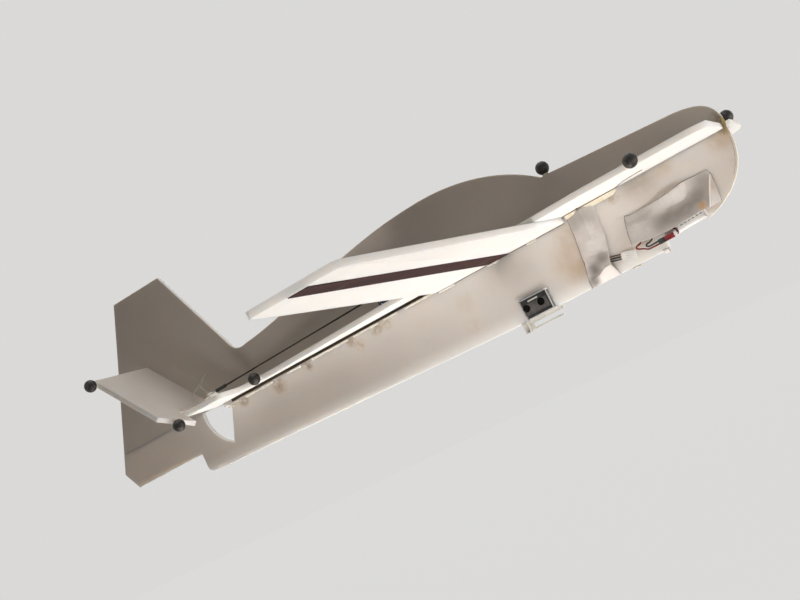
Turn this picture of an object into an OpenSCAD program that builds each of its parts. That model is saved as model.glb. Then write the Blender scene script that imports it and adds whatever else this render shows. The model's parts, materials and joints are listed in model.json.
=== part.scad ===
// Flat-foam indoor glider that perches on a line: crossed foam plates, a one-servo elevator,
// a sprung belly latch and a set of round tracking markers.
// Stations run forward from the elevator hinge line, heights from the middle of the deck sheet.

/* [Foam sheet] */
// Thickness of the foam sheet
foam_t = 6; // [5:0.5:8]

/* [Deck] */
// Hinge line to the front edge of the deck
deck_front = 648; // [600:1:700]
// Overhang of the deck ahead of the upright plates
deck_overhang = 4; // [2:0.5:8]
// Distance of the starboard half's front edge behind the port one
deck_set_back = 8; // [0:0.5:12]
// Half width of the deck at the nose
deck_half_w = 88; // [70:1:100]
// Length of the full-width stretch behind the nose corners
deck_wide_len = 104; // [80:1:120]
// Half width of the deck just ahead of the stabilizer
deck_tail_half_w = 20; // [16:1:28]
// Length of the two front corner curves
deck_corner = 34; // [25:1:45]
// Half span of the fixed stabilizer
stab_half_span = 64; // [50:1:80]
// Chord of the fixed stabilizer
stab_chord = 52; // [44:1:56]

/* [Upright plates] */
// Height of the nose above the deck's middle
nose_top_z = 33.5; // [28:0.5:38]
// Height of the canopy
canopy_z = 84; // [70:1:100]
// Station of the canopy's crest
canopy_x = 335; // [300:1:370]
// Station of the flat step ahead of the canopy
step_x = 469; // [455:1:480]
// Height of that step
step_z = 42; // [38:1:46]
// Height of the spine ahead of the fin
spine_z = 45; // [38:1:52]
// Station where the fin leaves the spine
fin_foot_x = 54; // [44:1:64]
// Height of the fin's top edge
fin_top_z = 163; // [140:1:180]
// Station of the fin's top front corner
fin_top_front = 2; // [-10:1:12]
// Length of the fin's top edge
fin_top_len = 72; // [60:1:85]
// Distance of the fin's lowest rear corner behind the hinge line
fin_rear = 159; // [140:1:175]
// Depth of the fin's lower edge
fin_low_z = 43; // [38:1:50]
// Distance behind the hinge line of the step between fin and belly
heel = 45; // [40:1:60]
// Depth of the belly at its heel
heel_z = 67; // [62:1:74]
// Depth of the belly ahead of the latch
belly_z = 79; // [76:1:84]

/* [Wing] */
// Half span of the wing
wing_half_span = 446; // [380:1:480]
// Chord at the root
wing_root_chord = 157; // [140:1:165]
// Chord at the tip
wing_tip_chord = 82; // [60:1:95]
// Station of the leading edge at the root
wing_front = 465; // [460:1:472]
// Sweep of the leading edge at the tip
wing_sweep = 24; // [15:1:40]
// Width of the black spar strip at the root
spar_strip_w = 25; // [18:1:30]
// Width of the spar strip at the tip
spar_strip_tip_w = 18; // [12:1:22]
// Thickness of the spar strip
spar_strip_t = 0.6; // [0.4:0.1:1]
// Station of the middle of the spar at the root
spar_x = 386.5; // [380:0.5:395]
// Station of the middle of the spar strip at the tip
spar_tip_x = 404; // [395:1:410]
// Distance from the wing tip to the end of the spar strip
spar_strip_end = 2; // [1:1:20]
// Diameter of the rod that joins the two wing halves
wing_rod_d = 3; // [2:0.5:4]
// Length of that rod in each half
wing_rod_reach = 120; // [80:1:160]

/* [Stringers] */
// Height of the carbon strips in the corners under the deck
stringer_h = 3; // [2:0.5:4]
// Thickness of those strips
stringer_t = 1; // [0.8:0.1:1.4]

/* [Elevator] */
// Trailing edge up angle at rest
elevator_rest = 51; // [0:1:55]
// Chord behind the hinge line
elevator_chord = 95; // [80:1:105]
// Half span of the elevator
elevator_half_span = 104; // [90:1:125]
// Reach of the balance horns ahead of the hinge line
balance_reach = 20; // [14:1:26]
// Gap beside the fin and beside the stabilizer tips
elevator_gap = 2; // [1.5:0.5:4]
// Distance from the fin's face to the elevator's root edge
elevator_root_gap = 5; // [3:0.5:8]
// Diameter of the rod that joins the two elevator halves
joiner_d = 3; // [2:0.5:4]
// Distance of that rod behind the hinge line
joiner_back = 8; // [7.5:0.5:10]
// Reach of that rod from the middle
joiner_reach = 40; // [30:1:55]
// Width of each flange of the hinge tape
hinge_tape_w = 9; // [6:1:12]
// Thickness of tape
tape_t = 0.4; // [0.3:0.05:0.6]

/* [Control run] */
// Radius of the control horn and of the servo arm
arm_r = 11; // [9:0.5:18]
// Height of the clear control horn above the hinge line
horn_h = 37; // [26:1:40]
// Distance of the horn and the servo arm from the middle
arm_y = 28; // [27:0.5:34]
// Thickness of the horn and of the servo arm
arm_t = 1.6; // [1.2:0.1:2]
// Distance of the pushrod outboard of the horn's middle
rod_offset = 3; // [2.6:0.1:4]
// Diameter of the carbon pushrod
rod_d = 1.8; // [1.4:0.1:2.2]
// Diameter of the bent wire ends
wire_d = 1.2; // [0.8:0.1:1.4]
// Running clearance of the wire in its holes
wire_clear = 0.08; // [0.05:0.01:0.1]
// Length of the shrink sleeves on the rod
sleeve_len = 14; // [10:1:20]
// Station of the servo's output shaft
servo_x = 270; // [240:1:290]
// Length of the servo case
servo_len = 20; // [18:0.5:23]
// Width of the servo case
servo_w = 9; // [8:0.5:12]
// Height of the servo case
servo_h = 18; // [16:0.5:19]
// Distance of the case from the upper plate
servo_gap = 2; // [1:0.5:3]
// Diameter of the servo's output shaft
shaft_d = 4; // [3:0.5:5]
// Running clearance of the output shaft in the case
shaft_clear = 0.05; // [0.03:0.01:0.08]
// Thickness of the foam tape under the servo
servo_pad_t = 2; // [1:0.5:3]

/* [Perch latch] */
// Station of the rear wall of the latch housing
latch_x = 385; // [380:1:388]
// Length of the housing
latch_len = 33; // [30:0.5:36]
// Height of the housing
latch_h = 22; // [18:0.5:24]
// Depth of the housing across the plate
latch_depth = 18; // [14:0.5:22]
// Wall of the housing
latch_wall = 1.5; // [1:0.1:2]
// Height of the gap that takes the line
slot_gap = 4.4; // [4.2:0.1:6]
// Height of the fixed upper arm
latch_arm_h = 3.2; // [2.8:0.1:4]
// Thickness of the arm and of the lever
latch_arm_t = 2.4; // [2:0.1:3]
// Height of the lever bar
lever_h = 2; // [1.8:0.1:2.6]
// Reach of the lever ahead of its pivot
lever_len = 40; // [36:1:46]
// Reach of the fixed arm ahead of the pivot
latch_arm_len = 44; // [40:1:50]
// Diameter of the lever's pin
lever_pin_d = 1.4; // [1.2:0.1:1.8]
// Diameter of the spring's wire
spring_wire_d = 0.6; // [0.5:0.05:0.8]
// Running clearance of the lever on its pin
pin_clear = 0.05; // [0.03:0.01:0.08]

/* [Equipment] */
// Length of the battery
battery_len = 46; // [36:1:50]
// Height of the battery
battery_h = 16; // [12:0.5:20]
// Thickness of the battery
battery_t = 8; // [6:0.5:9]
// Distance of the battery's rear end behind the nose
battery_back = 98; // [92:1:104]
// Nose-up tilt of the battery
battery_tilt = 4; // [0:0.5:6]
// Length of the receiver
receiver_len = 24; // [18:1:25]
// Height of the receiver
receiver_h = 15; // [12:0.5:18]
// Thickness of the receiver
receiver_t = 6; // [4:0.5:8]
// Width of the tape strip behind the equipment
strip_w = 32; // [26:1:34]
// Distance of the middle of that strip ahead of the wing
strip_ahead = 14; // [13:1:17]

/* [Markers] */
// Diameter of the tracking markers
marker_d = 14; // [10:0.5:16]
// Diameter of their bases
marker_base_d = 6; // [5:0.5:6]
// Height of the bases on top edges
marker_base_t = 1.5; // [1:0.1:2]
// Height of the posts on side edges
marker_post_t = 4; // [3:0.1:6]

/* [Hidden] */
$fn = 48;

// Length of the narrow neck ahead of the stabilizer
neck_len = 53;
// Half of the sheet, which is also the deck's top and the plates' faces
half_t = foam_t / 2;
// Station of the upright plates' nose
nose_x = deck_front - deck_overhang;
// Small overshoot of every cut
cut = 1;
// Bends of the bezier curves
curve_steps = 14;
// Underside of the wing
wing_low_z = -half_t - foam_t;
// Station of the wing's trailing edge at the root
wing_rear = wing_front - wing_root_chord;
// Fit of a glued rod in its hole
glue_fit = 0.05;
// Hinge axis of the elevator, on the top face of the deck
hinge_z = half_t;
// Radius of the hole that the elevator joiner swings in
joiner_hole_r = joiner_back + foam_t / 2 + joiner_d / 2;
// Gap of the elevator's front edge behind the hinge line
hinge_gap = 0.3;
// Opening in the fin under the hinge: corner, radius and the slope of its front edge
travel_x = 21;
travel_z = -9;
travel_r = 42.5;
travel_slope = 25;
// Servo shaft
servo_z = half_t + servo_pad_t + servo_w / 2;
servo_y = half_t + servo_gap;
servo_face_y = -servo_y - servo_h;
servo_shaft_back = 5;
shaft_seat = 4;
// Pushrod: both ends lie one arm radius from their axes, in the same direction
horn_x = arm_r * sin(elevator_rest);
horn_z = arm_r * cos(elevator_rest);
rod_y = arm_y + rod_offset;
rod_slope = -atan2(servo_z - hinge_z, servo_x);
rod_len = norm([servo_x, servo_z - hinge_z]);
wire_len = 24;
// Perch latch
bracket_t = 0.8;
cheek_t = 1.5;
cheek_gap = 0.2;
pivot_x = latch_x - 4;
eye_r = 2.1;
arm_low_z = -belly_z - bracket_t - latch_arm_h;
lever_top_z = arm_low_z - slot_gap;
pivot_z = lever_top_z - lever_h / 2;
cheek_y = latch_arm_t / 2 + cheek_gap;
latch_rest_gap = 0.1;
// Middle of the line slot, the origin of the part
perch_x = latch_x + latch_len / 2;
perch_z = arm_low_z - slot_gap / 2;
// Equipment on the starboard face of the lower plate
face_y = -half_t;
battery_x = nose_x - battery_back;
battery_low_z = -belly_z + 9;
battery_face_y = face_y - battery_t;
receiver_x = battery_x - 1 - receiver_len;
receiver_low_z = battery_low_z + 11;
lead_d = 1.6;
servo_lead_d = 2.4;
lead_hole = [483, -7.5];
lead_hole_room = 4.6;
connector_t = 5;
connector_h = 5;
connector_z = battery_low_z - 2;
battery_plug_len = 7;
battery_socket_len = 12;
battery_plug_x = battery_x - 5;
plug_len = 14;
plug_h = 8;
plug_t = 3;
plug_tilt = 15;
// Middle of the rear face of the servo plug, and the way that it points
plug_end = [battery_x - 45, face_y - plug_t / 2, -belly_z + 14];
plug_axis = [cos(plug_tilt), 0, -sin(plug_tilt)];
plug_lead_in = 5;
patch_rear = battery_x - 28;
patch_front = battery_x + 60;
patch_low_z = connector_z + connector_h + 1;
patch_top_z = -30;
strip_x = wing_front + strip_ahead;
strip_top_z = -9;
strip_rise = 3.4;
strip_ramp = 7;
// Stations of the markers
marker_nose_x = nose_x - 74;
marker_left = [nose_x - 3, deck_half_w - 42];
marker_tail_x = stab_chord + 28;
// Height of the side markers above the middle of the sheet
marker_lift = 1.5;

// Points of a cubic curve, without its last one
function bezier(a, b, c, d) = [
  for (i = [0 : curve_steps - 1])
    let (t = i / curve_steps, s = 1 - t)
      s * s * s * a + 3 * s * s * t * b + 3 * s * t * t * c + t * t * t * d
];

// Mirrors a half outline about the part's middle plane
function both_sides(half) = concat(
  half, [for (i = [len(half) - 1 : -1 : 0]) [half[i][0], -half[i][1]]]
);

function unit(v) = v / norm(v);

// Outline of the plate above the deck, with canopy and fin
function upper_outline() = concat(
  [[0, half_t]],
  bezier([nose_x, half_t], [nose_x, nose_top_z * 0.7],
         [nose_x - 14, nose_top_z - 2], [nose_x - 46, nose_top_z]),
  [[step_x + 5, step_z]],
  bezier([step_x - 5, step_z], [step_x - 25, step_z + 18], [canopy_x + 65, canopy_z], [canopy_x, canopy_z]),
  bezier([canopy_x, canopy_z], [canopy_x - 105, canopy_z],
         [canopy_x - 185, spine_z + 6], [fin_foot_x + 18, spine_z]),
  bezier([fin_foot_x + 18, spine_z], [fin_foot_x + 8, spine_z - 2],
         [fin_foot_x + 2, spine_z], [fin_foot_x - 2, spine_z + 8]),
  [[fin_top_front, fin_top_z], [fin_top_front - fin_top_len, fin_top_z], [fin_edge_x(0), 0], [0, 0]]
);

// Station of the fin's rear edge at a height
function fin_edge_x(z) = let (
  top = fin_top_front - fin_top_len,
  low_z = -fin_low_z / 2
) -fin_rear + (top + fin_rear) * (z - low_z) / (fin_top_z - low_z);

// Outline of the plate below the deck, with the foot of the fin
function lower_outline() = concat(
  [[0, -half_t], [0, 0], [fin_edge_x(0), 0], [-fin_rear, -fin_low_z / 2],
   [-fin_rear + 12, -fin_low_z], [-heel, -fin_low_z]],
  bezier([-heel, -fin_low_z - 14], [-heel, -heel_z + 3], [-heel + 4, -heel_z], [-heel + 12, -heel_z]),
  [[latch_x - 20, -belly_z], [latch_x + latch_len + 120, -belly_z]],
  bezier([nose_x - 100, -belly_z + 2], [nose_x - 30, -belly_z + 4],
         [nose_x, -belly_z + 32], [nose_x, -half_t - 6]),
  [[nose_x, -half_t]]
);

// Half outline of the deck, from the nose to the stabilizer's rear edge
function deck_half() = concat(
  [[deck_front, 0]],
  bezier([deck_front, deck_half_w - deck_corner], [deck_front, deck_half_w - deck_corner * 0.4],
         [deck_front - deck_corner * 0.4, deck_half_w], [deck_front - deck_corner, deck_half_w]),
  [[deck_front - deck_corner - deck_wide_len, deck_half_w], [stab_chord + neck_len, deck_tail_half_w]],
  bezier([stab_chord + 16, deck_tail_half_w], [stab_chord + 4, deck_tail_half_w],
         [stab_chord, deck_tail_half_w + 6], [stab_chord, deck_tail_half_w + 18]),
  bezier([stab_chord, stab_half_span - 10], [stab_chord, stab_half_span - 4],
         [stab_chord - 4, stab_half_span], [stab_chord - 10, stab_half_span]),
  [[0, stab_half_span]]
);

// Outline of the starboard wing half
function wing_outline() = let (
  root = -half_t,
  tip = -wing_half_span,
  tip_front = wing_front - wing_sweep,
  tip_rear = tip_front - wing_tip_chord
) concat(
  [[wing_rear, root], [wing_front, root], [tip_front, tip + 4], [tip_front - 4, tip]],
  bezier([tip_rear + 6, tip], [tip_rear + 3, tip], [tip_rear, tip + 2], [tip_rear, tip + 5])
);

// Outline of the starboard elevator half at zero deflection
function elevator_outline() = let (
  root = -half_t - elevator_root_gap,
  inner = -stab_half_span - elevator_gap,
  tip = -elevator_half_span
) [
  [-elevator_chord, root], [-hinge_gap, root], [-hinge_gap, inner], [balance_reach, inner],
  [-5, tip], [-elevator_chord, tip]
];

// A round tube swept along a route
module tube(route, d, sides = 8, up = [0.2, 1, 0.1]) {
  n = len(route);
  rings = [
    for (i = [0 : n - 1])
      let (
        t = unit(route[min(i + 1, n - 1)] - route[max(i - 1, 0)]),
        s = unit(cross(t, up)),
        u = cross(s, t)
      )
      for (k = [0 : sides - 1])
        route[i] + d / 2 * (cos(360 * k / sides) * s + sin(360 * k / sides) * u)
  ];
  walls = [
    for (i = [0 : n - 2], k = [0 : sides - 1])
      let (a = i * sides + k, b = i * sides + (k + 1) % sides)
      [a, a + sides, b + sides, b]
  ];
  ends = [[for (k = [0 : sides - 1]) k], [for (k = [sides - 1 : -1 : 0]) (n - 1) * sides + k]];
  polyhedron(rings, concat(walls, ends));
}

// A plate of foam in the middle plane
module upright(outline) {
  rotate([90, 0, 0]) linear_extrude(foam_t, center = true) polygon(outline);
}

// A cylinder across the part, centred on a station and a height
module across(x, z, d, y0, y1) {
  translate([x, y0, z]) rotate([-90, 0, 0]) cylinder(d = d, h = y1 - y0);
}

// A box from its low to its high corner
module block(low, high) {
  translate(low) cube(high - low);
}

// Sets a piece that is drawn at zero deflection to the elevator's rest angle
module on_elevator() {
  translate([0, 0, hinge_z]) rotate([0, elevator_rest, 0]) translate([0, 0, -hinge_z]) children();
}

module starboard_and_port() {
  children();
  mirror([0, 1, 0]) children();
}

// Foam plates

module lower_fuselage_plate() {
  color("gainsboro") difference() {
    upright(lower_outline());
    across(0, hinge_z, 2 * joiner_hole_r, -foam_t, foam_t);
    intersection() {
      across(travel_x, travel_z, 2 * travel_r, -foam_t, foam_t);
      translate([travel_x, 0, travel_z]) rotate([0, travel_slope, 0])
        block([-2 * travel_r, -foam_t, -2 * travel_r], [0, foam_t, 0]);
      block([-2 * travel_r, -foam_t, -2 * travel_r], [2 * travel_r, foam_t, -half_t + cut]);
    }
    block([latch_x, -foam_t, -belly_z - cut], [latch_x + latch_len, foam_t, -belly_z + latch_h]);
    across(spar_x, wing_low_z + half_t, wing_rod_d + 2 * glue_fit, -foam_t, foam_t);
    // The belly is cut away under the battery
    on_battery()
      block([-battery_len / 2 - 1, -foam_t, -belly_z], [battery_len / 2 - 1.5, foam_t, -battery_h / 2 + 0.5]);
  }
}

module upper_fuselage_plate() {
  color("silver") difference() {
    upright(upper_outline());
    across(0, hinge_z, 2 * joiner_hole_r, -foam_t, foam_t);
  }
}

module deck() {
  color("whitesmoke") difference() {
    linear_extrude(foam_t, center = true) polygon(both_sides(deck_half()));
    // The plates' nose runs through ahead of the starboard half
    block([deck_front - deck_set_back, -deck_half_w - cut, -foam_t], [deck_front + cut, -half_t, foam_t]);
    block([nose_x, -half_t - cut, -foam_t], [deck_front + cut, half_t, foam_t]);
    translate([lead_hole[0], lead_hole[1], -foam_t])
      cylinder(d = servo_lead_d + lead_hole_room, h = 2 * foam_t);
  }
}

// Wing

module wing_half() {
  difference() {
    translate([0, 0, wing_low_z]) linear_extrude(foam_t) polygon(wing_outline());
    across(spar_x, wing_low_z + half_t, wing_rod_d + 2 * glue_fit, -wing_rod_reach - 1, 0);
  }
}

module spar_strip() {
  root = spar_strip_w / 2;
  tip = spar_strip_tip_w / 2;
  end = -wing_half_span + spar_strip_end;
  translate([0, 0, wing_low_z - spar_strip_t]) linear_extrude(spar_strip_t)
    polygon([[spar_x - root, -half_t], [spar_x + root, -half_t],
             [spar_tip_x + tip, end], [spar_tip_x - tip, end]]);
}

module wing_right() { color("white") wing_half(); }
module wing_left() { color("white") mirror([0, 1, 0]) wing_half(); }
module wing_spar_strip_right() { color("black") spar_strip(); }
module wing_spar_strip_left() { color("black") mirror([0, 1, 0]) spar_strip(); }

module wing_joiner_rod() {
  color("black") across(spar_x, wing_low_z + half_t, wing_rod_d, -wing_rod_reach, wing_rod_reach);
}

module deck_stringers() {
  color("dimgray") starboard_and_port()
    block([travel_x + 3, face_y - stringer_t, -half_t - stringer_h], [wing_rear - 1, face_y, -half_t]);
}

// Elevator

module elevator_half() {
  bevel = foam_t + hinge_gap;
  difference() {
    linear_extrude(foam_t, center = true) polygon(elevator_outline());
    // Bevel that lets the trailing edge go down
    translate([-hinge_gap, 0, half_t]) rotate([0, 45, 0])
      block([-bevel / 8, -stab_half_span - elevator_gap, -2 * bevel], [2 * bevel, 0, 0]);
    across(-joiner_back, 0, joiner_d + 2 * glue_fit, -joiner_reach - 1, 0);
  }
}

module elevator_right() { color("lightgray") on_elevator() elevator_half(); }
module elevator_left() { color("lightgray") on_elevator() mirror([0, 1, 0]) elevator_half(); }

module elevator_joiner() {
  color("black") on_elevator() across(-joiner_back, 0, joiner_d, -joiner_reach, joiner_reach);
}

module control_horn() {
  foot = 14;
  eye = 2.6;
  color("ivory") on_elevator() translate([0, -arm_y, 0]) difference() {
    union() {
      rotate([90, 0, 0]) linear_extrude(arm_t, center = true)
        polygon([[-3, half_t], [-3 - foot, half_t], [-9, hinge_z + horn_h], [-5, hinge_z + horn_h],
                 [eye * 0.8, hinge_z + arm_r + eye * 0.6], [-eye * 0.5, hinge_z + arm_r - eye * 0.8]]);
      across(0, hinge_z + arm_r, 2 * eye, -arm_t / 2, arm_t / 2);
      block([-3 - foot, -4, half_t], [-3, 4, half_t + 0.8]);
    }
    across(0, hinge_z + arm_r, wire_d + 2 * wire_clear, -arm_t, arm_t);
  }
}

module elevator_hinge_tape() {
  root = half_t + elevator_root_gap;
  color("lightyellow") on_elevator() starboard_and_port()
    block([-hinge_gap - hinge_tape_w, -stab_half_span, half_t], [-hinge_gap, -arm_y - 5, half_t + tape_t]);
}

module stabilizer_hinge_tape() {
  color("lightyellow") starboard_and_port()
    block([hinge_gap, -stab_half_span, half_t], [hinge_gap + hinge_tape_w, -arm_y - 5, half_t + tape_t]);
}

// Control run

// Places a piece along the pushrod, from the horn's hole towards the servo
module along_rod() {
  translate([horn_x, -rod_y, hinge_z + horn_z]) rotate([0, rod_slope, 0]) children();
}

module rod_cylinder(x0, x1, d) {
  translate([x0, 0, 0]) rotate([0, 90, 0]) cylinder(d = d, h = x1 - x0);
}

// Bent wire end: a straight leg beside the rod's end, and a pin through the arm
module bent_wire(x_pin, x_end) {
  pin_len = rod_offset + arm_t / 2 + 2;
  rod_cylinder(min(x_pin, x_end), max(x_pin, x_end), wire_d);
  across(x_pin, 0, wire_d, 0, pin_len);
  translate([x_pin, 0, 0]) sphere(d = wire_d);
}

module pushrod() { color("black") along_rod() rod_cylinder(wire_len, rod_len - wire_len, rod_d); }
module pushrod_wire_rear() { color("gray") along_rod() bent_wire(0, wire_len); }
module pushrod_wire_front() { color("gray") along_rod() bent_wire(rod_len, rod_len - wire_len); }

module sleeve(x0) {
  wall = 1.1;
  difference() {
    rod_cylinder(x0, x0 + sleeve_len, rod_d + 2 * wall);
    rod_cylinder(x0 - cut, x0 + sleeve_len + cut, rod_d);
  }
}

module pushrod_sleeve_rear() { color("black") along_rod() sleeve(wire_len - sleeve_len / 4); }

module pushrod_sleeve_front() {
  color("black") along_rod() sleeve(rod_len - wire_len - sleeve_len * 3 / 4);
}

module servo_case() {
  rear = servo_x + servo_shaft_back - servo_len;
  low = servo_z - servo_w / 2;
  ear = 4;
  ear_y = servo_y + servo_h - 5;
  color("midnightblue") difference() {
    union() {
      block([rear, -servo_y - servo_h, low], [rear + servo_len, -servo_y, low + servo_w]);
      block([rear - ear, -ear_y - 1.2, low], [rear + servo_len + ear, -ear_y, low + servo_w]);
    }
    for (x = [rear - ear / 2, rear + servo_len + ear / 2])
      across(x, servo_z, 2, -ear_y - 2, -ear_y + 1);
    across(servo_x, servo_z, shaft_d + 2 * shaft_clear, servo_face_y - cut, servo_face_y + shaft_seat);
  }
}

module servo_shaft() {
  end_gap = 0.2;
  color("white") across(servo_x, servo_z, shaft_d, -arm_y + arm_t / 2, servo_face_y + shaft_seat - end_gap);
}

module servo_arm() {
  hub = 6;
  eye = 2.4;
  color("white") translate([servo_x, -arm_y, servo_z]) rotate([0, elevator_rest, 0]) difference() {
    union() {
      across(0, 0, hub, -arm_t / 2, arm_t / 2);
      across(0, arm_r, 2 * eye, -arm_t / 2, arm_t / 2);
      rotate([90, 0, 0]) linear_extrude(arm_t, center = true)
        polygon([[-hub / 2, 0], [hub / 2, 0], [eye, arm_r], [-eye, arm_r]]);
    }
    for (r = [arm_r - 6, arm_r - 3]) across(0, r, 1, -arm_t, arm_t);
    across(0, arm_r, wire_d + 2 * wire_clear, -arm_t, arm_t);
  }
}

module servo_arm_screw() {
  color("silver") across(servo_x, servo_z, 3, -arm_y - arm_t / 2 - 1.2, -arm_y - arm_t / 2);
}

module servo_pad() {
  rear = servo_x + servo_shaft_back - servo_len;
  color("gray") block([rear + 1, -servo_y - servo_h + 6, half_t],
                      [rear + servo_len - 1, -servo_y - 1, half_t + servo_pad_t]);
}

// From the servo along the deck, down through it and under the tape strip to the plug
function lead_route() = let (front = servo_x + servo_shaft_back, top = half_t + servo_lead_d / 2 + 0.1) [
  [front, -12, servo_z], [front + 2, -12, servo_z], [front + 7, -12, servo_z - 1.4],
  [front + 14, -12, top + 1], [front + 25, -12, top],
  [350, -11, top], [400, -10, top], [440, -9, top], [470, -7.4, top], [480, -6.8, top],
  [482.4, -6.5, top - 1.5], [483, -6.2, 0.5], [483, -5.8, -3], [483, -5, -6.5], [483, -4.6, -10],
  [483, -4.5, -14], [482, -4.5, -24], [481, -4.5, -36], [481, -4.5, -49], [483, -4.5, -56], [487, -4.5, -61],
  [491, -4.5, -62.5], plug_end - plug_lead_in * plug_axis, plug_end
];

module servo_lead() { color("saddlebrown") tube(lead_route(), servo_lead_d, up = [0.3, 1, 0.2]); }

module servo_plug() {
  color("ivory") translate(plug_end) rotate([0, plug_tilt, 0])
    block([0, -plug_t / 2, -plug_h / 2], [plug_len, plug_t / 2, plug_h / 2]);
}

// Equipment on the starboard face

module receiver() {
  color("seagreen") block([receiver_x, face_y - receiver_t, receiver_low_z],
                          [receiver_x + receiver_len, face_y, receiver_low_z + receiver_h]);
}

// Places its children with their origin in the middle of the battery's length and height
module on_battery() {
  translate([battery_x + battery_len / 2, 0, battery_low_z + battery_h / 2])
    rotate([0, -battery_tilt, 0]) children();
}

module battery() {
  rim = 2;
  half_h = battery_h / 2 - rim;
  color("white") on_battery() hull()
    for (z = [-half_h, half_h], y = [rim, battery_t - rim])
      translate([-battery_len / 2, face_y - y, z]) rotate([0, 90, 0])
        cylinder(r = rim, h = battery_len, $fn = 24);
}

// Both leads leave the receiver's lower edge and run to the plug, with stations from the plug's rear face
red_route = [
  [-17, -6, -59], [-17, -6, -60.5], [-19, -6.6, -62.2], [-22, -7.4, -63],
  [-23, -8.2, -64.6], [-21, -9, -66.4], [-17, -9.6, -68], [-13, -10.2, -70.4],
  [-9, -11.2, -70.8], [-5, -12.4, -71], [-2.5, -13, -71], [0, -13, -71]
];
black_route = [
  [-5, -6, -59], [-5, -6, -60.5], [-6, -7.5, -63.4], [-9, -8.6, -65], [-12, -9.6, -65.6], [-13, -10.4, -67],
  [-11, -11.2, -68.4], [-7, -12.3, -68.6], [-2.5, -13, -68.4], [0, -13, -68.4]
];

module battery_lead_red() { color("red") translate([battery_plug_x, 0, 0]) tube(red_route, lead_d); }
module battery_lead_black() { color("black") translate([battery_plug_x, 0, 0]) tube(black_route, lead_d); }

module battery_plug() {
  color("black") block([battery_plug_x, battery_face_y - connector_t, connector_z],
                       [battery_plug_x + battery_plug_len, battery_face_y, connector_z + connector_h]);
}

module battery_socket() {
  rear = battery_plug_x + battery_plug_len;
  color("firebrick") block([rear, battery_face_y - connector_t, connector_z],
                           [rear + battery_socket_len, battery_face_y, connector_z + connector_h]);
}

// Tape over the servo lead, wrapped under the belly
module tape_strip() {
  x0 = strip_x - strip_w / 2;
  x1 = strip_x + strip_w / 2;
  y0 = face_y;
  y1 = face_y - strip_rise;
  side = [
    [x0, y0], [x0, y0 - tape_t], [x0 + strip_ramp - 0.2, y1 - tape_t], [x1, y1 - tape_t], [x1, y1],
    [x0 + strip_ramp, y1]
  ];
  color("darkgray") {
    translate([0, 0, -belly_z]) linear_extrude(belly_z + strip_top_z) polygon(side);
    block([x0, face_y - strip_rise - tape_t, -belly_z - tape_t], [x1, half_t + tape_t, -belly_z]);
    block([x0, half_t, -belly_z], [x1, half_t + tape_t, -belly_z + 24]);
  }
}

// Tape over the battery and the receiver
module tape_patch() {
  y0 = face_y;
  y1 = battery_face_y;
  ramp_z = receiver_low_z + receiver_h + 2;
  profile = [
    [y0, patch_top_z], [y0 - tape_t, patch_top_z], [y1 - tape_t, ramp_z], [y1 - tape_t, patch_low_z],
    [y1, patch_low_z], [y1, ramp_z - tape_t], [y0, patch_top_z - tape_t]
  ];
  color("darkgray") translate([patch_rear, 0, 0]) rotate([90, 0, 90])
    linear_extrude(patch_front - patch_rear) polygon(profile);
}

// Perch latch

module latch_housing() {
  low = [latch_x, -latch_depth / 2, -belly_z];
  high = [latch_x + latch_len, latch_depth / 2, -belly_z + latch_h];
  wall = [latch_wall, -cut, latch_wall];
  color("azure") difference() {
    block(low, high);
    block(low + wall, high - wall);
  }
}

module latch_block() {
  set_back = 4;
  recess_d = 6;
  recess_depth = 4;
  recess_apart = 17;
  recess_back = 3;
  low = [latch_x + latch_wall, -latch_depth / 2 + set_back, -belly_z + latch_wall + 3];
  high = [latch_x + latch_len - latch_wall, latch_depth / 2, -belly_z + latch_h - latch_wall];
  middle = latch_x + latch_len / 2;
  color("black") difference() {
    union() {
      block(low, high);
      block([low[0], low[1] + 2, -belly_z + latch_wall], [high[0], high[1], low[2]]);
    }
    for (side = [-1, 1])
      across(middle - recess_back + side * recess_apart / 2, -belly_z + latch_h / 2 + 1, recess_d,
             low[1] - cut, low[1] + recess_depth);
  }
}

module latch_bracket() {
  outer = cheek_y + cheek_t;
  top = -belly_z;
  color("white") difference() {
    union() {
      block([pivot_x - 4, -outer, top - bracket_t], [latch_x + latch_len, outer, top]);
      block([pivot_x - 4, -outer - 2 * spring_wire_d, top - bracket_t], [pivot_x + 3, -outer, top]);
      for (y = [-outer, cheek_y])
        block([pivot_x - 4, y, pivot_z - eye_r], [pivot_x + 3, y + cheek_t, top - bracket_t]);
    }
    across(pivot_x, pivot_z, lever_pin_d, -outer - cut, outer + cut);
  }
}

module latch_arm() {
  top = -belly_z - bracket_t;
  nose = latch_arm_h / 2;
  front = pivot_x + latch_arm_len - nose;
  color("white") difference() {
    union() {
      block([pivot_x + 4, -latch_arm_t / 2, arm_low_z], [front, latch_arm_t / 2, top]);
      across(front, arm_low_z + nose, latch_arm_h, -latch_arm_t / 2, latch_arm_t / 2);
    }
    for (i = [0 : 4]) across(front - 5 * i, arm_low_z + nose, 1.2, -latch_arm_t, latch_arm_t);
  }
}

module latch_lever() {
  tip = pivot_x + lever_len - lever_h / 2;
  half = latch_arm_t / 2;
  stop = pivot_x + 4;
  color("white") difference() {
    union() {
      across(pivot_x, pivot_z, 2 * eye_r, -half, half);
      block([pivot_x, -half, lever_top_z - lever_h], [tip, half, lever_top_z]);
      across(tip, lever_top_z - lever_h / 2, lever_h, -half, half);
      block([stop, -half, lever_top_z], [stop + 3, half, arm_low_z - latch_rest_gap]);
    }
    across(pivot_x, pivot_z, lever_pin_d + 2 * pin_clear, -2 * half, 2 * half);
  }
}

module lever_pin() {
  reach = cheek_y + cheek_t;
  color("silver") across(pivot_x, pivot_z, lever_pin_d, -reach - 3.4, reach + 0.6);
}

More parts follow.
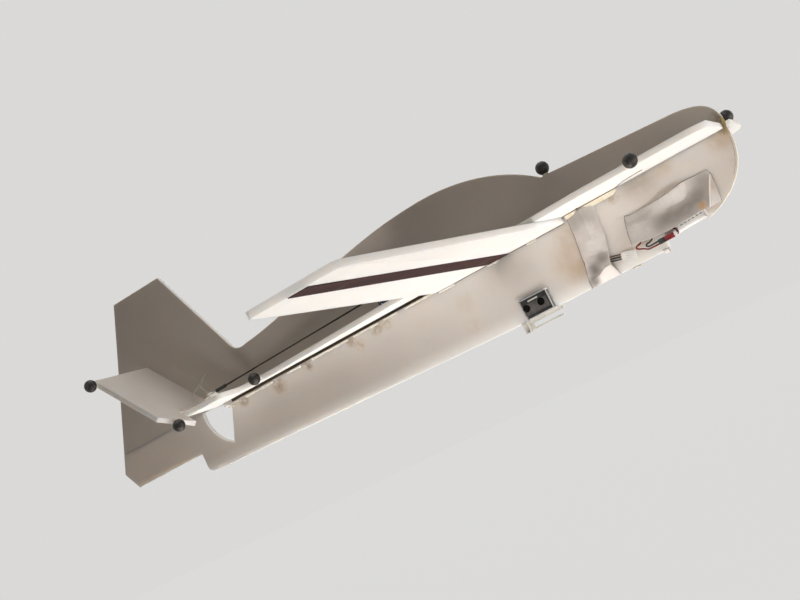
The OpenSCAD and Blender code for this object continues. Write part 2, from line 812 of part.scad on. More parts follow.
// Torsion spring beside the starboard cheek: a stack of turns and a leg under the bracket
module lever_spring() {
  turns = 4;
  turn_r = lever_pin_d / 2 + spring_wire_d;
  first = cheek_y + cheek_t + spring_wire_d / 2 + 0.1;
  color("silver") {
    for (i = [0 : turns - 1])
      translate([pivot_x, -first - spring_wire_d * i, pivot_z]) rotate([90, 0, 0])
        rotate_extrude() translate([turn_r, 0]) circle(d = spring_wire_d, $fn = 24);
    translate([pivot_x + turn_r, -first, pivot_z])
      cylinder(d = spring_wire_d, h = -belly_z - bracket_t - pivot_z, $fn = 24);
  }
}

// Markers

// A ball on its base, standing on the plane z = 0
module ball(stand) {
  flat = marker_d * 0.45;
  translate([0, 0, stand + flat]) difference() {
    sphere(d = marker_d);
    translate([0, 0, -flat - marker_d]) cylinder(d = 2 * marker_d, h = marker_d);
  }
}

module base(stand) { cylinder(d = marker_base_d, h = stand); }

module at_nose_right() {
  translate([marker_nose_x, -deck_half_w, marker_lift]) rotate([90, 0, 0]) children();
}
module at_nose_left() { translate([marker_left[0], marker_left[1], half_t]) children(); }
module at_top() { translate([step_x, 0, step_z]) children(); }
module at_tail() { translate([marker_tail_x, -deck_tail_half_w, marker_lift]) rotate([90, 0, 0]) children(); }

// On the slanted front edge of the starboard balance horn
module at_elevator_corner() {
  inner = -stab_half_span - elevator_gap;
  run = [-5 - balance_reach, -elevator_half_span - inner];
  on_elevator() translate([balance_reach + run[0] / 2, inner + run[1] / 2, 0])
    rotate([0, 0, atan2(run[1], run[0])]) rotate([-90, 0, 0]) children();
}

// On the starboard tip edge, by the trailing edge
module at_elevator_tip() {
  on_elevator() translate([-elevator_chord + 4, -elevator_half_span, 0]) rotate([90, 0, 0]) children();
}

module marker_nose_right() { color("dimgray") at_nose_right() ball(marker_post_t); }
module marker_nose_left() { color("dimgray") at_nose_left() ball(marker_base_t); }
module marker_top() { color("dimgray") at_top() ball(marker_base_t); }
module marker_tail() { color("dimgray") at_tail() ball(marker_post_t); }
module marker_elevator_corner() { color("dimgray") at_elevator_corner() ball(marker_base_t); }
module marker_elevator_tip() { color("dimgray") at_elevator_tip() ball(marker_post_t); }

module marker_bases() {
  color("white") {
    at_nose_right() base(marker_post_t);
    at_nose_left() base(marker_base_t);
    at_top() base(marker_base_t);
    at_tail() base(marker_post_t);
  }
}

module elevator_marker_bases() {
  color("white") {
    at_elevator_corner() base(marker_base_t);
    at_elevator_tip() base(marker_post_t);
  }
}

// Puts the middle of the line slot at the origin
module glider() { translate([-perch_x, 0, -perch_z]) children(); }

glider() lower_fuselage_plate();
glider() upper_fuselage_plate();
glider() deck();
glider() wing_right();
glider() wing_left();
glider() wing_spar_strip_right();
glider() wing_spar_strip_left();
glider() wing_joiner_rod();
glider() deck_stringers();
glider() elevator_right();
glider() elevator_left();
glider() elevator_joiner();
glider() control_horn();
glider() elevator_hinge_tape();
glider() stabilizer_hinge_tape();
glider() pushrod();
glider() pushrod_wire_rear();
glider() pushrod_wire_front();
glider() pushrod_sleeve_rear();
glider() pushrod_sleeve_front();
glider() servo_case();
glider() servo_shaft();
glider() servo_arm();
glider() servo_arm_screw();
glider() servo_pad();
glider() servo_lead();
glider() servo_plug();
glider() receiver();
glider() battery();
glider() battery_lead_red();
glider() battery_lead_black();
glider() battery_plug();
glider() battery_socket();
glider() tape_strip();
glider() tape_patch();
glider() latch_housing();
glider() latch_block();
glider() latch_bracket();
glider() latch_arm();
glider() latch_lever();
glider() lever_pin();
glider() lever_spring();
glider() marker_nose_right();
glider() marker_nose_left();
glider() marker_top();
glider() marker_tail();
glider() marker_bases();
glider() marker_elevator_tip();
glider() marker_elevator_corner();
glider() elevator_marker_bases();
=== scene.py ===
"""Looks of a flat-foam perching glider: foam sheet, tape, carbon, leads, markers and latch."""
import json
import math

import bmesh
import bpy
from mathutils import Matrix, Vector, noise


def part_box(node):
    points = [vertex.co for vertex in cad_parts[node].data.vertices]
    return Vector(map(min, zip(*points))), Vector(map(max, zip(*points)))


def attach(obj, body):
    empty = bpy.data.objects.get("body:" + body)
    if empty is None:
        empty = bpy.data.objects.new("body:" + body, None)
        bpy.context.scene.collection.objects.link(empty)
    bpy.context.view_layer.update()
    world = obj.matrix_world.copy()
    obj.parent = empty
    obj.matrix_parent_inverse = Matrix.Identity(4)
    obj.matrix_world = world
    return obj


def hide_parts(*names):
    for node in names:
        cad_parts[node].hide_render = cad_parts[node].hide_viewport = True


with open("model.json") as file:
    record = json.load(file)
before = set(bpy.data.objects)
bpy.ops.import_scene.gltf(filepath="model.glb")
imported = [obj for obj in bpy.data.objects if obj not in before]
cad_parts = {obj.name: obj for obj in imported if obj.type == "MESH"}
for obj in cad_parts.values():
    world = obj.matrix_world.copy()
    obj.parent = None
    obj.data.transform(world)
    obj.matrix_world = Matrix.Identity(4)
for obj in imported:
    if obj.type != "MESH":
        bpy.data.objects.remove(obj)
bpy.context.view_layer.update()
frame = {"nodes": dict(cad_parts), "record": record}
NODES = frame["nodes"]

# The hinge line and the deck's middle in the part's frame, in millimetres
HINGE_X = -401.5
DECK_Z = 85.2


def at(x, y, z):
    """A point from millimetres ahead of the hinge line, left of the middle and above the deck's middle."""
    return Vector(((x + HINGE_X) / 1000, y / 1000, (z + DECK_Z) / 1000))


# Materials


def join(tree, value, socket):
    """Links a node's output, or sets a plain number or colour."""
    if isinstance(value, bpy.types.NodeSocket):
        tree.links.new(value, socket)
    else:
        socket.default_value = value


def add_node(tree, kind, inputs, **settings):
    """A new node with its settings, and its inputs linked or set by name or number."""
    node = tree.nodes.new("ShaderNode" + kind)
    for key, value in settings.items():
        setattr(node, key, value)
    for key, value in inputs.items():
        join(tree, value, node.inputs[key])
    return node


class Paint:
    """A procedural material that is mapped by the part's own coordinates."""

    def __init__(self, name, color, roughness, metallic=0.0):
        self.mat = bpy.data.materials.new(name)
        self.mat.use_nodes = True
        self.tree = self.mat.node_tree
        self.bsdf = self.tree.nodes["Principled BSDF"]
        self.to("Base Color", (*color, 1.0))
        self.to("Roughness", roughness)
        self.to("Metallic", metallic)
        self.coords = self.tree.nodes.new("ShaderNodeTexCoord").outputs["Object"]
        self.mat.diffuse_color = (*color, 1.0)

    def to(self, socket, value):
        join(self.tree, value, self.bsdf.inputs[socket])

    def node(self, kind, inputs, **settings):
        return add_node(self.tree, kind, inputs, **settings)

    def noise(self, scale, detail=3.0, stretch=None, distortion=0.0):
        where = self.coords
        if stretch:
            where = self.node("Mapping", {"Vector": where, "Scale": stretch}).outputs["Vector"]
        inputs = {"Vector": where, "Scale": scale, "Detail": detail, "Distortion": distortion}
        return self.node("TexNoise", inputs).outputs["Fac"]

    def cells(self, scale, feature="F1"):
        inputs = {"Vector": self.coords, "Scale": scale}
        return self.node("TexVoronoi", inputs, feature=feature).outputs["Distance"]

    def wave(self, scale, axis, distortion):
        inputs = {"Vector": self.coords, "Scale": scale, "Distortion": distortion}
        return self.node("TexWave", inputs, bands_direction=axis).outputs["Fac"]

    def span(self, value, low, high, to_low=0.0, to_high=1.0):
        """Maps a range of values onto another, clamped and smooth."""
        inputs = {"Value": value, "From Min": low, "From Max": high, "To Min": to_low, "To Max": to_high}
        return self.node("MapRange", inputs, interpolation_type="SMOOTHSTEP").outputs["Result"]

    def math(self, operation, a, b):
        return self.node("Math", {0: a, 1: b}, operation=operation).outputs["Value"]

    def mix(self, factor, a, b):
        a, b = (value if isinstance(value, bpy.types.NodeSocket) else (*value, 1.0) for value in (a, b))
        return self.node("Mix", {0: factor, 6: a, 7: b}, data_type="RGBA").outputs[2]

    def blot(self, center, radius, ragged, scale):
        """One at a point in millimetres, falling to zero at the radius in metres with a ragged edge."""
        away = self.node("VectorMath", {0: self.coords, 1: at(*center)}, operation="DISTANCE")
        near = self.span(away.outputs["Value"], 0.15 * radius, radius, 1.0, 0.0)
        return self.math("MULTIPLY", near, self.span(self.noise(scale, 4.0), 0.5 - ragged / 2, 0.7))

    def bump(self, height, strength, distance):
        """Adds relief to what is there already."""
        inputs = {"Height": height, "Strength": strength, "Distance": distance}
        old = self.bsdf.inputs["Normal"]
        if old.is_linked:
            inputs["Normal"] = old.links[0].from_socket
        self.to("Normal", self.node("Bump", inputs).outputs["Normal"])


WHITE = (0.80, 0.784, 0.76)
TAN = (0.56, 0.45, 0.32)
GLUE_BROWN = (0.38, 0.28, 0.15)
# Tone of painted shade on the foam
FOAM_SHADE_TONE = (0.58, 0.53, 0.48)
# Blots of this radius in metres and above have a softer edge
SOFT_BLOT = 0.015
# The belly's line in metres: how it falls toward the nose, its height at zero and its height ahead
BELLY_FALL, BELLY_ZERO, BELLY_AHEAD = 0.03, 0.0052, 0.0062


def scaled(color, factor):
    """A colour that is darker or lighter by a factor."""
    return tuple(channel * factor for channel in color)


def grained(paint, texture, low, colors, relief, gloss):
    """One texture for colour, relief and gloss. The colours change over between its low value and 0.7."""
    paint.to("Base Color", paint.mix(paint.span(texture, low, 0.7), *colors))
    paint.bump(texture, *relief)
    paint.to("Roughness", paint.span(texture, 0.3, 0.7, *gloss))
    return paint.mat


def above_belly(paint):
    """Height in metres above the belly's line, which slopes behind the latch and is level ahead of it."""
    split = paint.node("SeparateXYZ", {0: paint.coords})
    slope = paint.math("ADD", paint.math("MULTIPLY", split.outputs["X"], BELLY_FALL), -BELLY_ZERO)
    return paint.math("ADD", split.outputs["Z"], paint.math("MINIMUM", slope, -BELLY_AHEAD))


def foam(name, blots=(), tint=WHITE, soil=0.5, depth=0.008, grain=0.16, belly=None):
    """Extruded foam sheet: a fine skin of pressed cells that lets a little light through, with hand marks,
    stains, blots of painted shade and, where given, a painted glow along the belly.
    """
    paint = Paint(name, tint, 0.72)
    paint.to("Specular IOR Level", 0.25)
    paint.to("Subsurface Weight", 0.85)
    paint.to("Subsurface Radius", (1.0, 0.86, 0.72))
    paint.to("Subsurface Scale", depth)
    dull = scaled(tint, 1 - 0.07 * soil)
    color = paint.mix(paint.span(paint.noise(11.0, 4.0), 0.35, 0.7), tint, dull)
    speck = paint.span(paint.noise(420.0, 2.0), 0.58, 0.75, 0.0, 0.3)
    color = paint.mix(speck, color, scaled(tint, 0.88))
    rub = paint.span(paint.noise(30.0, 5.0, (0.25, 1.0, 1.3)), 0.6, 0.8, 0.0, 0.3 * soil)
    color = paint.mix(rub, color, scaled(tint, 0.86))
    # Blots are stains, and some are painted shade
    for center, radius, stain_and_shade, strength in blots:
        ragged = 0.5 if radius < SOFT_BLOT else 1.1
        factor = paint.math("MULTIPLY", paint.blot(center, radius, ragged, 2.2 / radius), strength)
        color = paint.mix(factor, color, stain_and_shade)
    # Painted glow: lighter near the belly's edge, where light from below shines through the foam
    if belly:
        color = paint.mix(paint.span(above_belly(paint), 0.001, 0.017, 0.9, 0.0), color, belly)
    paint.to("Base Color", color)
    paint.bump(paint.cells(620.0, "SMOOTH_F1"), grain, 0.0004)
    paint.bump(paint.noise(70.0, 4.0), 0.1, 0.0012)
    paint.to("Roughness", paint.span(paint.noise(55.0), 0.3, 0.7, 0.62, 0.8))
    return paint.mat


def duct_tape(name, level, blots=()):
    """Silver-grey cloth tape: a woven scrim under a thin film, creased and scuffed."""
    grey = scaled((0.54, 0.505, 0.475), level)
    paint = Paint(name, grey, 0.42, 0.12)
    cloud = paint.span(paint.noise(48.0, 5.0), 0.3, 0.72)
    color = paint.mix(cloud, scaled(grey, 0.88), scaled(grey, 1.08))
    scuff = paint.span(paint.noise(160.0, 4.0, (0.4, 1.0, 1.0)), 0.6, 0.74, 0.0, 0.6)
    color = paint.mix(scuff, color, scaled(grey, 1.28))
    # Blots paint shade into creases and light onto facets, and add a few stains
    for center, radius, tone, strength in blots:
        factor = paint.math("MULTIPLY", paint.blot(center, radius, 2.4, 120.0), strength)
        color = paint.mix(factor, color, tone)
    paint.to("Base Color", color)
    warp = paint.wave(300.0, "X", 0.4)
    weft = paint.wave(420.0, "Z", 0.4)
    paint.bump(paint.math("MAXIMUM", warp, weft), 0.30, 0.0003)
    paint.bump(paint.noise(150.0, 5.0, None, 0.6), 0.35, 0.0012)
    paint.to("Roughness", paint.span(paint.noise(90.0), 0.35, 0.65, 0.34, 0.58))
    return paint.mat


def carbon(name, deep, bright):
    """Drawn carbon fibre: fine streaks along its length."""
    paint = Paint(name, deep, 0.36)
    paint.to("Specular IOR Level", 0.12)
    streak = paint.noise(60.0, 4.0, (0.05, 6.0, 6.0))
    return grained(paint, streak, 0.35, (deep, bright), (0.2, 0.0002), (0.3, 0.48))


def spar_cloth(name):
    """Dark spar strip: fibres along the span under a dull resin, with dry patches."""
    paint = Paint(name, (0.05, 0.027, 0.026), 0.6)
    paint.to("Specular IOR Level", 0.02)
    fibre = paint.noise(40.0, 5.0, (9.0, 0.12, 4.0))
    color = paint.mix(paint.span(fibre, 0.35, 0.7), (0.03, 0.015, 0.015), (0.075, 0.042, 0.04))
    dry = paint.span(paint.noise(26.0, 4.0), 0.58, 0.75, 0.0, 0.6)
    paint.to("Base Color", paint.mix(dry, color, (0.10, 0.062, 0.058)))
    paint.bump(fibre, 0.3, 0.0002)
    paint.to("Roughness", paint.span(fibre, 0.3, 0.7, 0.55, 0.75))
    return paint.mat


def clear(name, tint, roughness, alpha):
    """Thin clear sheet or film: mostly see-through, with handling haze."""
    paint = Paint(name, tint, roughness)
    haze = paint.noise(120.0, 4.0)
    paint.to("Alpha", paint.span(haze, 0.3, 0.75, alpha * 0.85, min(1.0, alpha * 1.15)))
    paint.to("Roughness", paint.span(haze, 0.3, 0.7, roughness * 0.7, roughness * 1.5))
    paint.to("Specular IOR Level", 0.12)
    paint.bump(paint.noise(60.0), 0.06, 0.0008)
    return paint.mat


def plastic(name, color, roughness, spread=0.12, grain=900.0, gloss=0.5):
    """Moulded plastic with a fine texture, flow marks and handling wear."""
    paint = Paint(name, color, roughness)
    paint.to("Specular IOR Level", gloss)
    low = scaled(color, 1 - spread)
    high = tuple(min(1.0, channel * (1 + spread) + 0.004) for channel in color)
    paint.to("Base Color", paint.mix(paint.span(paint.noise(130.0, 4.0), 0.3, 0.7), low, high))
    paint.bump(paint.noise(grain, 2.0), 0.12, 0.0002)
    paint.to("Roughness", paint.span(paint.noise(210.0), 0.3, 0.7, roughness * 0.8, roughness * 1.25))
    return paint.mat


def steel(name):
    """Drawn metal: bright, with fine lines along its length."""
    paint = Paint(name, (0.50, 0.49, 0.47), 0.3, 1.0)
    draw = paint.noise(300.0, 3.0, (0.3, 3.0, 3.0))
    colors = (0.34, 0.33, 0.32), (0.62, 0.61, 0.59)
    return grained(paint, draw, 0.3, colors, (0.15, 0.0001), (0.22, 0.42))


def marker_skin(name):
    """Retroreflective cloth: dark grey beads under a thin skin, with pale scuffs."""
    paint = Paint(name, (0.03, 0.026, 0.022), 0.46, 0.3)
    bead = paint.cells(1900.0)
    color = paint.mix(paint.span(bead, 0.1, 0.6), (0.036, 0.031, 0.026), (0.012, 0.011, 0.010))
    scuff = paint.span(paint.noise(210.0, 4.0), 0.52, 0.68, 0.0, 0.7)
    paint.to("Base Color", paint.mix(scuff, color, (0.10, 0.085, 0.07)))
    paint.bump(bead, 0.35, 0.0002)
    paint.bump(paint.noise(240.0, 3.0), 0.25, 0.0006)
    paint.to("Roughness", paint.span(paint.noise(160.0), 0.3, 0.7, 0.36, 0.6))
    return paint.mat


def glue(name, pale, deep):
    """Dried contact glue: pale to amber, glossy and lumpy."""
    paint = Paint(name, pale, 0.28)
    lump = paint.noise(160.0, 4.0)
    return grained(paint, lump, 0.35, (pale, deep), (0.4, 0.0008), (0.2, 0.42))


def cell_wrap(name):
    """Pouch cell in a thin white wrap: soft wrinkles and a faint sheen."""
    paint = Paint(name, (0.80, 0.79, 0.76), 0.34)
    fold = paint.noise(110.0, 4.0, (0.4, 1.0, 1.6))
    colors = (0.93, 0.92, 0.90), (0.80, 0.79, 0.77)
    return grained(paint, fold, 0.3, colors, (0.4, 0.0012), (0.26, 0.45))


# One foam for all plates: the upper plate and elevators are tinted darker as painted shade, the deck lighter
# as painted light, and the cut edges lighter, partly for their open cells and partly as painted light
FOAM = foam("foam_sheet", depth=0.012)
FOAM_CUT = foam("foam_cut_edge", (), (0.90, 0.885, 0.86), 0.4, 0.014, 0.4)
FOAM_UPPER = foam("foam_upper", [
    # Painted shade ahead of the wing and on the fin; then a glue stain at the nose
    ((470, -3, 20), 0.050, FOAM_SHADE_TONE, 0.35),
    ((60, -3, 30), 0.060, FOAM_SHADE_TONE, 0.35),
    ((642, -3, 6), 0.014, GLUE_BROWN, 0.9),
], (0.74, 0.695, 0.64), 0.8, 0.004)
FOAM_LOWER = foam("foam_lower", [
    ((454, -3, -46), 0.030, TAN, 0.6),
    ((459, -3, -60), 0.020, TAN, 0.5),
    ((461, -3, -22), 0.020, TAN, 0.5),
    # A dark brown spot in the corner under the deck, then painted shade along that corner
    ((517, -3, -6), 0.013, GLUE_BROWN, 0.75),
    ((548, -3, -3), 0.030, (0.36, 0.30, 0.23), 0.6),
    ((575, -3, -5), 0.016, TAN, 0.5),
    ((632, -3, -8), 0.020, TAN, 0.7),
    ((642, -3, -4), 0.010, GLUE_BROWN, 0.9),
    ((640, -3, -35), 0.012, TAN, 0.5),
    ((38, -3, -12), 0.009, GLUE_BROWN, 0.9),
    ((89, -3, -15), 0.013, GLUE_BROWN, 0.8),
    ((133, -3, -11), 0.009, GLUE_BROWN, 0.8),
    ((194, -3, -10), 0.010, GLUE_BROWN, 0.8),
    ((202, -3, -18), 0.009, TAN, 0.8),
    ((228, -3, -11), 0.011, GLUE_BROWN, 0.8),
    ((241, -3, -12), 0.009, TAN, 0.9),
    ((332, -3, -32), 0.016, TAN, 0.22),
    ((330, -3, -57), 0.014, TAN, 0.22),
    # Painted shade under the wing's root
    ((392, -3, -12), 0.045, FOAM_SHADE_TONE, 0.5),
# The belly colour is a painted glow near the belly's edge
], (0.77, 0.735, 0.705), 0.7, 0.012, belly=(0.93, 0.915, 0.89))
FOAM_DECK = foam("foam_deck", [
    ((500, 0, -3), 0.040, (0.66, 0.60, 0.52), 0.3),
    ((640, -4, -3), 0.010, GLUE_BROWN, 0.7),
], (0.84, 0.825, 0.80), 0.45, 0.012)
# Tones for painted shade in the tape's creases and painted light on its facets that face down; then a rust
# stain
PAINTED_TAPE_SHADE = (0.24, 0.215, 0.195)
PAINTED_TAPE_LIGHT = (0.78, 0.735, 0.70)
RUST = (0.62, 0.33, 0.12)
TAPE = duct_tape("tape_cloth", 1.18, [
    # Painted shade along the dark band under the bulge and at the front, painted light on the bulge and at
    # the rear, a rust stain and a brown patch on the flap
    ((552, -11, -53), 0.014, PAINTED_TAPE_SHADE, 0.6),
    ((564, -11, -54), 0.015, PAINTED_TAPE_SHADE, 0.8),
    ((578, -11, -53), 0.015, PAINTED_TAPE_SHADE, 0.8),
    ((592, -9, -49), 0.015, PAINTED_TAPE_SHADE, 0.75),
    ((601, -7, -38), 0.014, PAINTED_TAPE_SHADE, 0.45),
    ((556, -7, -38), 0.011, PAINTED_TAPE_LIGHT, 0.9),
    ((566, -7, -37), 0.011, PAINTED_TAPE_LIGHT, 1.0),
    ((576, -7, -36), 0.011, PAINTED_TAPE_LIGHT, 1.0),
    ((583, -6, -34), 0.009, PAINTED_TAPE_LIGHT, 0.9),
    ((526, -9, -50), 0.014, PAINTED_TAPE_LIGHT, 0.4),
    ((592, -11, -58), 0.007, RUST, 0.8),
    ((608, -4, -45), 0.013, (0.46, 0.36, 0.30), 0.6),
])
TAPE_PALE = duct_tape("tape_cloth_pale", 1.3, [
    # Painted shade at the top and in the lower triangle, painted light in the middle, and a brown patch at
    # the front
    ((474, -5, -10), 0.018, PAINTED_TAPE_SHADE, 0.5),
    ((490, -5, -12), 0.016, PAINTED_TAPE_SHADE, 0.45),
    ((482, -8, -27), 0.012, PAINTED_TAPE_LIGHT, 0.6),
    ((480, -7, -42), 0.014, PAINTED_TAPE_LIGHT, 0.8),
    ((472, -6, -64), 0.011, PAINTED_TAPE_SHADE, 0.9),
    ((484, -8, -57), 0.010, PAINTED_TAPE_SHADE, 0.8),
    ((466, -6, -74), 0.009, PAINTED_TAPE_SHADE, 0.9),
    ((482, -8, -73), 0.009, PAINTED_TAPE_LIGHT, 0.3),
    ((604, -6, -50), 0.010, (0.50, 0.40, 0.33), 0.5),
])
# A lighter copy of the tape: painted highlight on the lifted front edge and the pinched fold
TAPE_HIGHLIGHT = duct_tape("tape_highlight", 1.5)
CARBON = carbon("carbon_rod", (0.014, 0.011, 0.008), (0.045, 0.034, 0.025))
STRINGER = carbon("carbon_strip", (0.028, 0.019, 0.013), (0.085, 0.06, 0.042))
SPAR = spar_cloth("spar_cloth")
FILM = clear("clear_film", (0.86, 0.85, 0.82), 0.4, 0.03)
SHEET = clear("clear_sheet", (0.80, 0.80, 0.77), 0.15, 0.03)
NYLON = plastic("nylon_white", (0.74, 0.72, 0.67), 0.38, 0.08)
BLUE = plastic("servo_shell", (0.016, 0.019, 0.04), 0.3)
BLACK = plastic("black_shell", (0.022, 0.021, 0.02), 0.42, 0.3)
PANEL = plastic("sensor_panel", (0.10, 0.092, 0.088), 0.5, 0.3)
LENS = plastic("dark_lens", (0.003, 0.003, 0.003), 0.85, 0.3, 900.0, 0.08)
STEEL = steel("bright_wire")
FILLER = plastic("seam_filler", (0.73, 0.685, 0.635), 0.75, 0.05, 500.0, 0.2)
PAD = plastic("pad_foam", (0.20, 0.20, 0.20), 0.85, 0.25, 500.0)
RED = plastic("red_insulation", (0.19, 0.009, 0.011), 0.36, 0.2, 900.0, 0.25)
DARK = plastic("dark_insulation", (0.014, 0.011, 0.010), 0.4, 0.3, 900.0, 0.2)
PLUG = plastic("plug_shell", (0.93, 0.92, 0.89), 0.34, 0.05)
SOCKET = plastic("socket_shell", (0.24, 0.014, 0.015), 0.32, 0.2)
BROWN = plastic("brown_insulation", (0.085, 0.035, 0.016), 0.42, 0.25)
# Whitish edges of the clear sheets: the cut edge's own haze, lightened further as a painted highlight
EDGE = clear("clear_edge", (0.88, 0.88, 0.85), 0.22, 0.62)
BOARD = plastic("board_film", (0.02, 0.10, 0.05), 0.3, 0.3)
TIN = steel("contact_tin")
CELL = cell_wrap("cell_wrap")
MARKER = marker_skin("marker_skin")
GLUE = glue("dried_glue", (0.84, 0.79, 0.69), (0.66, 0.54, 0.36))
CREAM = glue("cream_fillet", (0.86, 0.80, 0.66), (0.78, 0.68, 0.48))
BEAD = glue("pale_bead", (0.92, 0.89, 0.82), (0.82, 0.76, 0.64))
AMBER = glue("amber_glue", (0.40, 0.31, 0.13), (0.24, 0.17, 0.06))
# Dark glue for seams and the nose edge's line, also used for thin dark lines of painted shadow along tape
# edges and gaps
STAIN_AND_SHADOW = glue("dark_glue_and_shadow", (0.17, 0.115, 0.07), (0.26, 0.18, 0.11))

# Pieces

BODIES = frame["record"]["behaviour"]["bodies"]
BODY_OF = {node: body for body, nodes in BODIES.items() for node in nodes}


def place(name, data, mat, body, replaced=()):
    """A new piece with its material, its body, its finish and the nodes that it stands for."""
    obj = bpy.data.objects.new(name, data)
    bpy.context.scene.collection.objects.link(obj)
    for item in mat if isinstance(mat, list) else [mat]:
        data.materials.append(item)
    for node in replaced:
        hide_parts(node)
    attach(obj, body)
    return obj


def shade(mesh, angle=32):
    """Smooth shading, with sharp edges above an angle in degrees."""
    mesh.polygons.foreach_set("use_smooth", [True] * len(mesh.polygons))
    mesh.set_sharp_from_angle(angle=math.radians(angle))


def mesh_piece(name, verts, faces, mat, body="airframe", replaced=(), angle=32):
    """A piece from points and faces, with its faces turned outward."""
    mesh = bpy.data.meshes.new(name)
    mesh.from_pydata([tuple(v) for v in verts], [], faces)
    mesh.validate()
    shape = bmesh.new()
    shape.from_mesh(mesh)
    bmesh.ops.recalc_face_normals(shape, faces=shape.faces)
    shape.to_mesh(mesh)
    shape.free()
    shade(mesh, angle)
    return place(name, mesh, mat, body, replaced)


def merged(node):
    """A working copy of a node's mesh, with each flat face in one piece."""
    shape = bmesh.new()
    shape.from_mesh(NODES[node].data)
    bmesh.ops.remove_doubles(shape, verts=shape.verts, dist=2e-6)
    bmesh.ops.dissolve_limit(shape, angle_limit=math.radians(1.0), verts=shape.verts, edges=shape.edges)
    return shape


def eased(obj, width, segments):
    """Rounds a piece's edges. The width is in millimetres."""
    bevel = obj.modifiers.new("ease", "BEVEL")
    bevel.width = width / 1000
    bevel.segments = segments
    bevel.limit_method = "ANGLE"
    bevel.angle_limit = math.radians(35)
    bevel.harden_normals = True
    return obj


def softened(node, mat, width, cut=None):
    """A copy of a node with eased edges, which stands for it, and another finish on a sheet's cut edges."""
    mesh = bpy.data.meshes.new(node + "_eased")
    shape = merged(node)
    shape.to_mesh(mesh)
    shape.free()
    shade(mesh)
    finish = [mat, cut] if cut else [mat]
    obj = place(mesh.name, mesh, finish, BODY_OF[node], [node])
    if cut:
        flat = max(mesh.polygons, key=lambda face: face.area).normal.copy()
        for face in mesh.polygons:
            face.material_index = int(abs(face.normal.dot(flat)) < 0.5)
    return eased(obj, width, 2)


def block(name, low, high, mat, ease, replaced=()):
    """A box between two corners, with eased edges, all in millimetres."""
    shape = bmesh.new()
    bmesh.ops.create_cube(shape, size=1.0)
    a, b = at(*low), at(*high)
    size = Vector([abs(b[i] - a[i]) for i in range(3)])
    for vert in shape.verts:
        vert.co = (a + b) / 2 + Vector([vert.co[i] * size[i] for i in range(3)])
    mesh = bpy.data.meshes.new(name)
    shape.to_mesh(mesh)
    shape.free()
    shade(mesh)
    return eased(place(name, mesh, mat, "airframe", replaced), ease, 3)


def smooth_route(points, steps=6):
    """A curve through points, with the given steps in each stretch."""
    ends = [2 * points[0] - points[1]] + list(points) + [2 * points[-1] - points[-2]]
    route = []
    for i in range(1, len(ends) - 2):
        p0, p1, p2, p3 = ends[i - 1], ends[i], ends[i + 1], ends[i + 2]
        for k in range(steps):
            t = k / steps
            route.append(0.5 * (2 * p1 + (p2 - p0) * t + (2 * p0 - 5 * p1 + 4 * p2 - p3) * t * t
                                + (3 * p1 - p0 - 3 * p2 + p3) * t * t * t))
    route.append(points[-1].copy())
    return route


def tube(name, points, radius, mat, body="airframe", replaced=(), radii=None, steps=6):
    """A round cord through points. The radius is in millimetres, and radii scale it along the way."""
    route = smooth_route(points, steps) if steps else points
    curve = bpy.data.curves.new(name, "CURVE")
    curve.dimensions = "3D"
    curve.bevel_depth = radius / 1000
    curve.bevel_resolution = 4
    curve.use_fill_caps = True
    spline = curve.splines.new("POLY")
    spline.points.add(len(route) - 1)
    for i, point in enumerate(route):
        spline.points[i].co = (*point, 1.0)
        spline.points[i].radius = radii(i / (len(route) - 1)) if radii else 1.0
    spline.use_smooth = True
    return place(name, curve, mat, body, replaced)


def film(name, rows, mat, thickness, replaced=(), angle=60):
    """A thin sheet over a grid of points, with half of its thickness in millimetres to either side."""
    wide = len(rows[0])
    verts = [point for row in rows for point in row]
    faces = [(i * wide + j, i * wide + j + 1, (i + 1) * wide + j + 1, (i + 1) * wide + j)
             for i in range(len(rows) - 1) for j in range(wide - 1)]
    mesh = bpy.data.meshes.new(name)
    mesh.from_pydata([tuple(v) for v in verts], [], faces)
    shade(mesh, angle)
    obj = place(name, mesh, mat, "airframe", replaced)
    skin = obj.modifiers.new("skin", "SOLIDIFY")
    skin.thickness = thickness / 1000
    skin.offset = 0.0
    return obj


def ridge(distance, width):
    """A soft crest that is one on a line and zero beyond its width."""
    return max(0.0, 1 - abs(distance) / width) ** 1.5


def ripple(x, y, z, scale):
    """Smooth noise at a point."""
    return noise.noise(Vector((x, y, z)) * scale)


# Foam plates, wing and elevator

PLATES = {
    "lower_fuselage_plate": FOAM_LOWER,
    "upper_fuselage_plate": FOAM_UPPER,
    "deck": FOAM_DECK,
    "wing_right": FOAM,
    "wing_left": FOAM,
    "elevator_right": FOAM_UPPER,
    "elevator_left": FOAM_UPPER,
}
for node, mat in PLATES.items():
    softened(node, mat, 0.5, cut=FOAM_CUT)

PAINTED = {
    SPAR: ("wing_spar_strip_right", "wing_spar_strip_left"),
    CARBON: ("wing_joiner_rod", "elevator_joiner", "pushrod"),
    STRINGER: ("deck_stringers",),
    FILM: ("elevator_hinge_tape", "stabilizer_hinge_tape"),
    STEEL: ("pushrod_wire_rear", "pushrod_wire_front"),
}
for mat, nodes in PAINTED.items():
    for node in nodes:
        NODES[node].data.materials.clear()
        NODES[node].data.materials.append(mat)

# Start, end and height of each run of glue
GLUE_RUNS = [
    (21, 32, -8.2), (43, 83, -8.3), (105, 124, -7.6), (141, 192, -7.4), (199, 233, -7.3),
    (241, 258, -7.2), (268, 304, -7.4), (312, 331, -10), (372, 386, -10), (420, 431, -10),
]
WING_FRONT, WING_SWEEP = 465, 24 / 441
FILM_ROOT, FILM_TIP = 40, 440
FILLET_REAR, FILLET_LENGTH = 468, 57
HANDS = ((-1, "right"), (1, "left"))

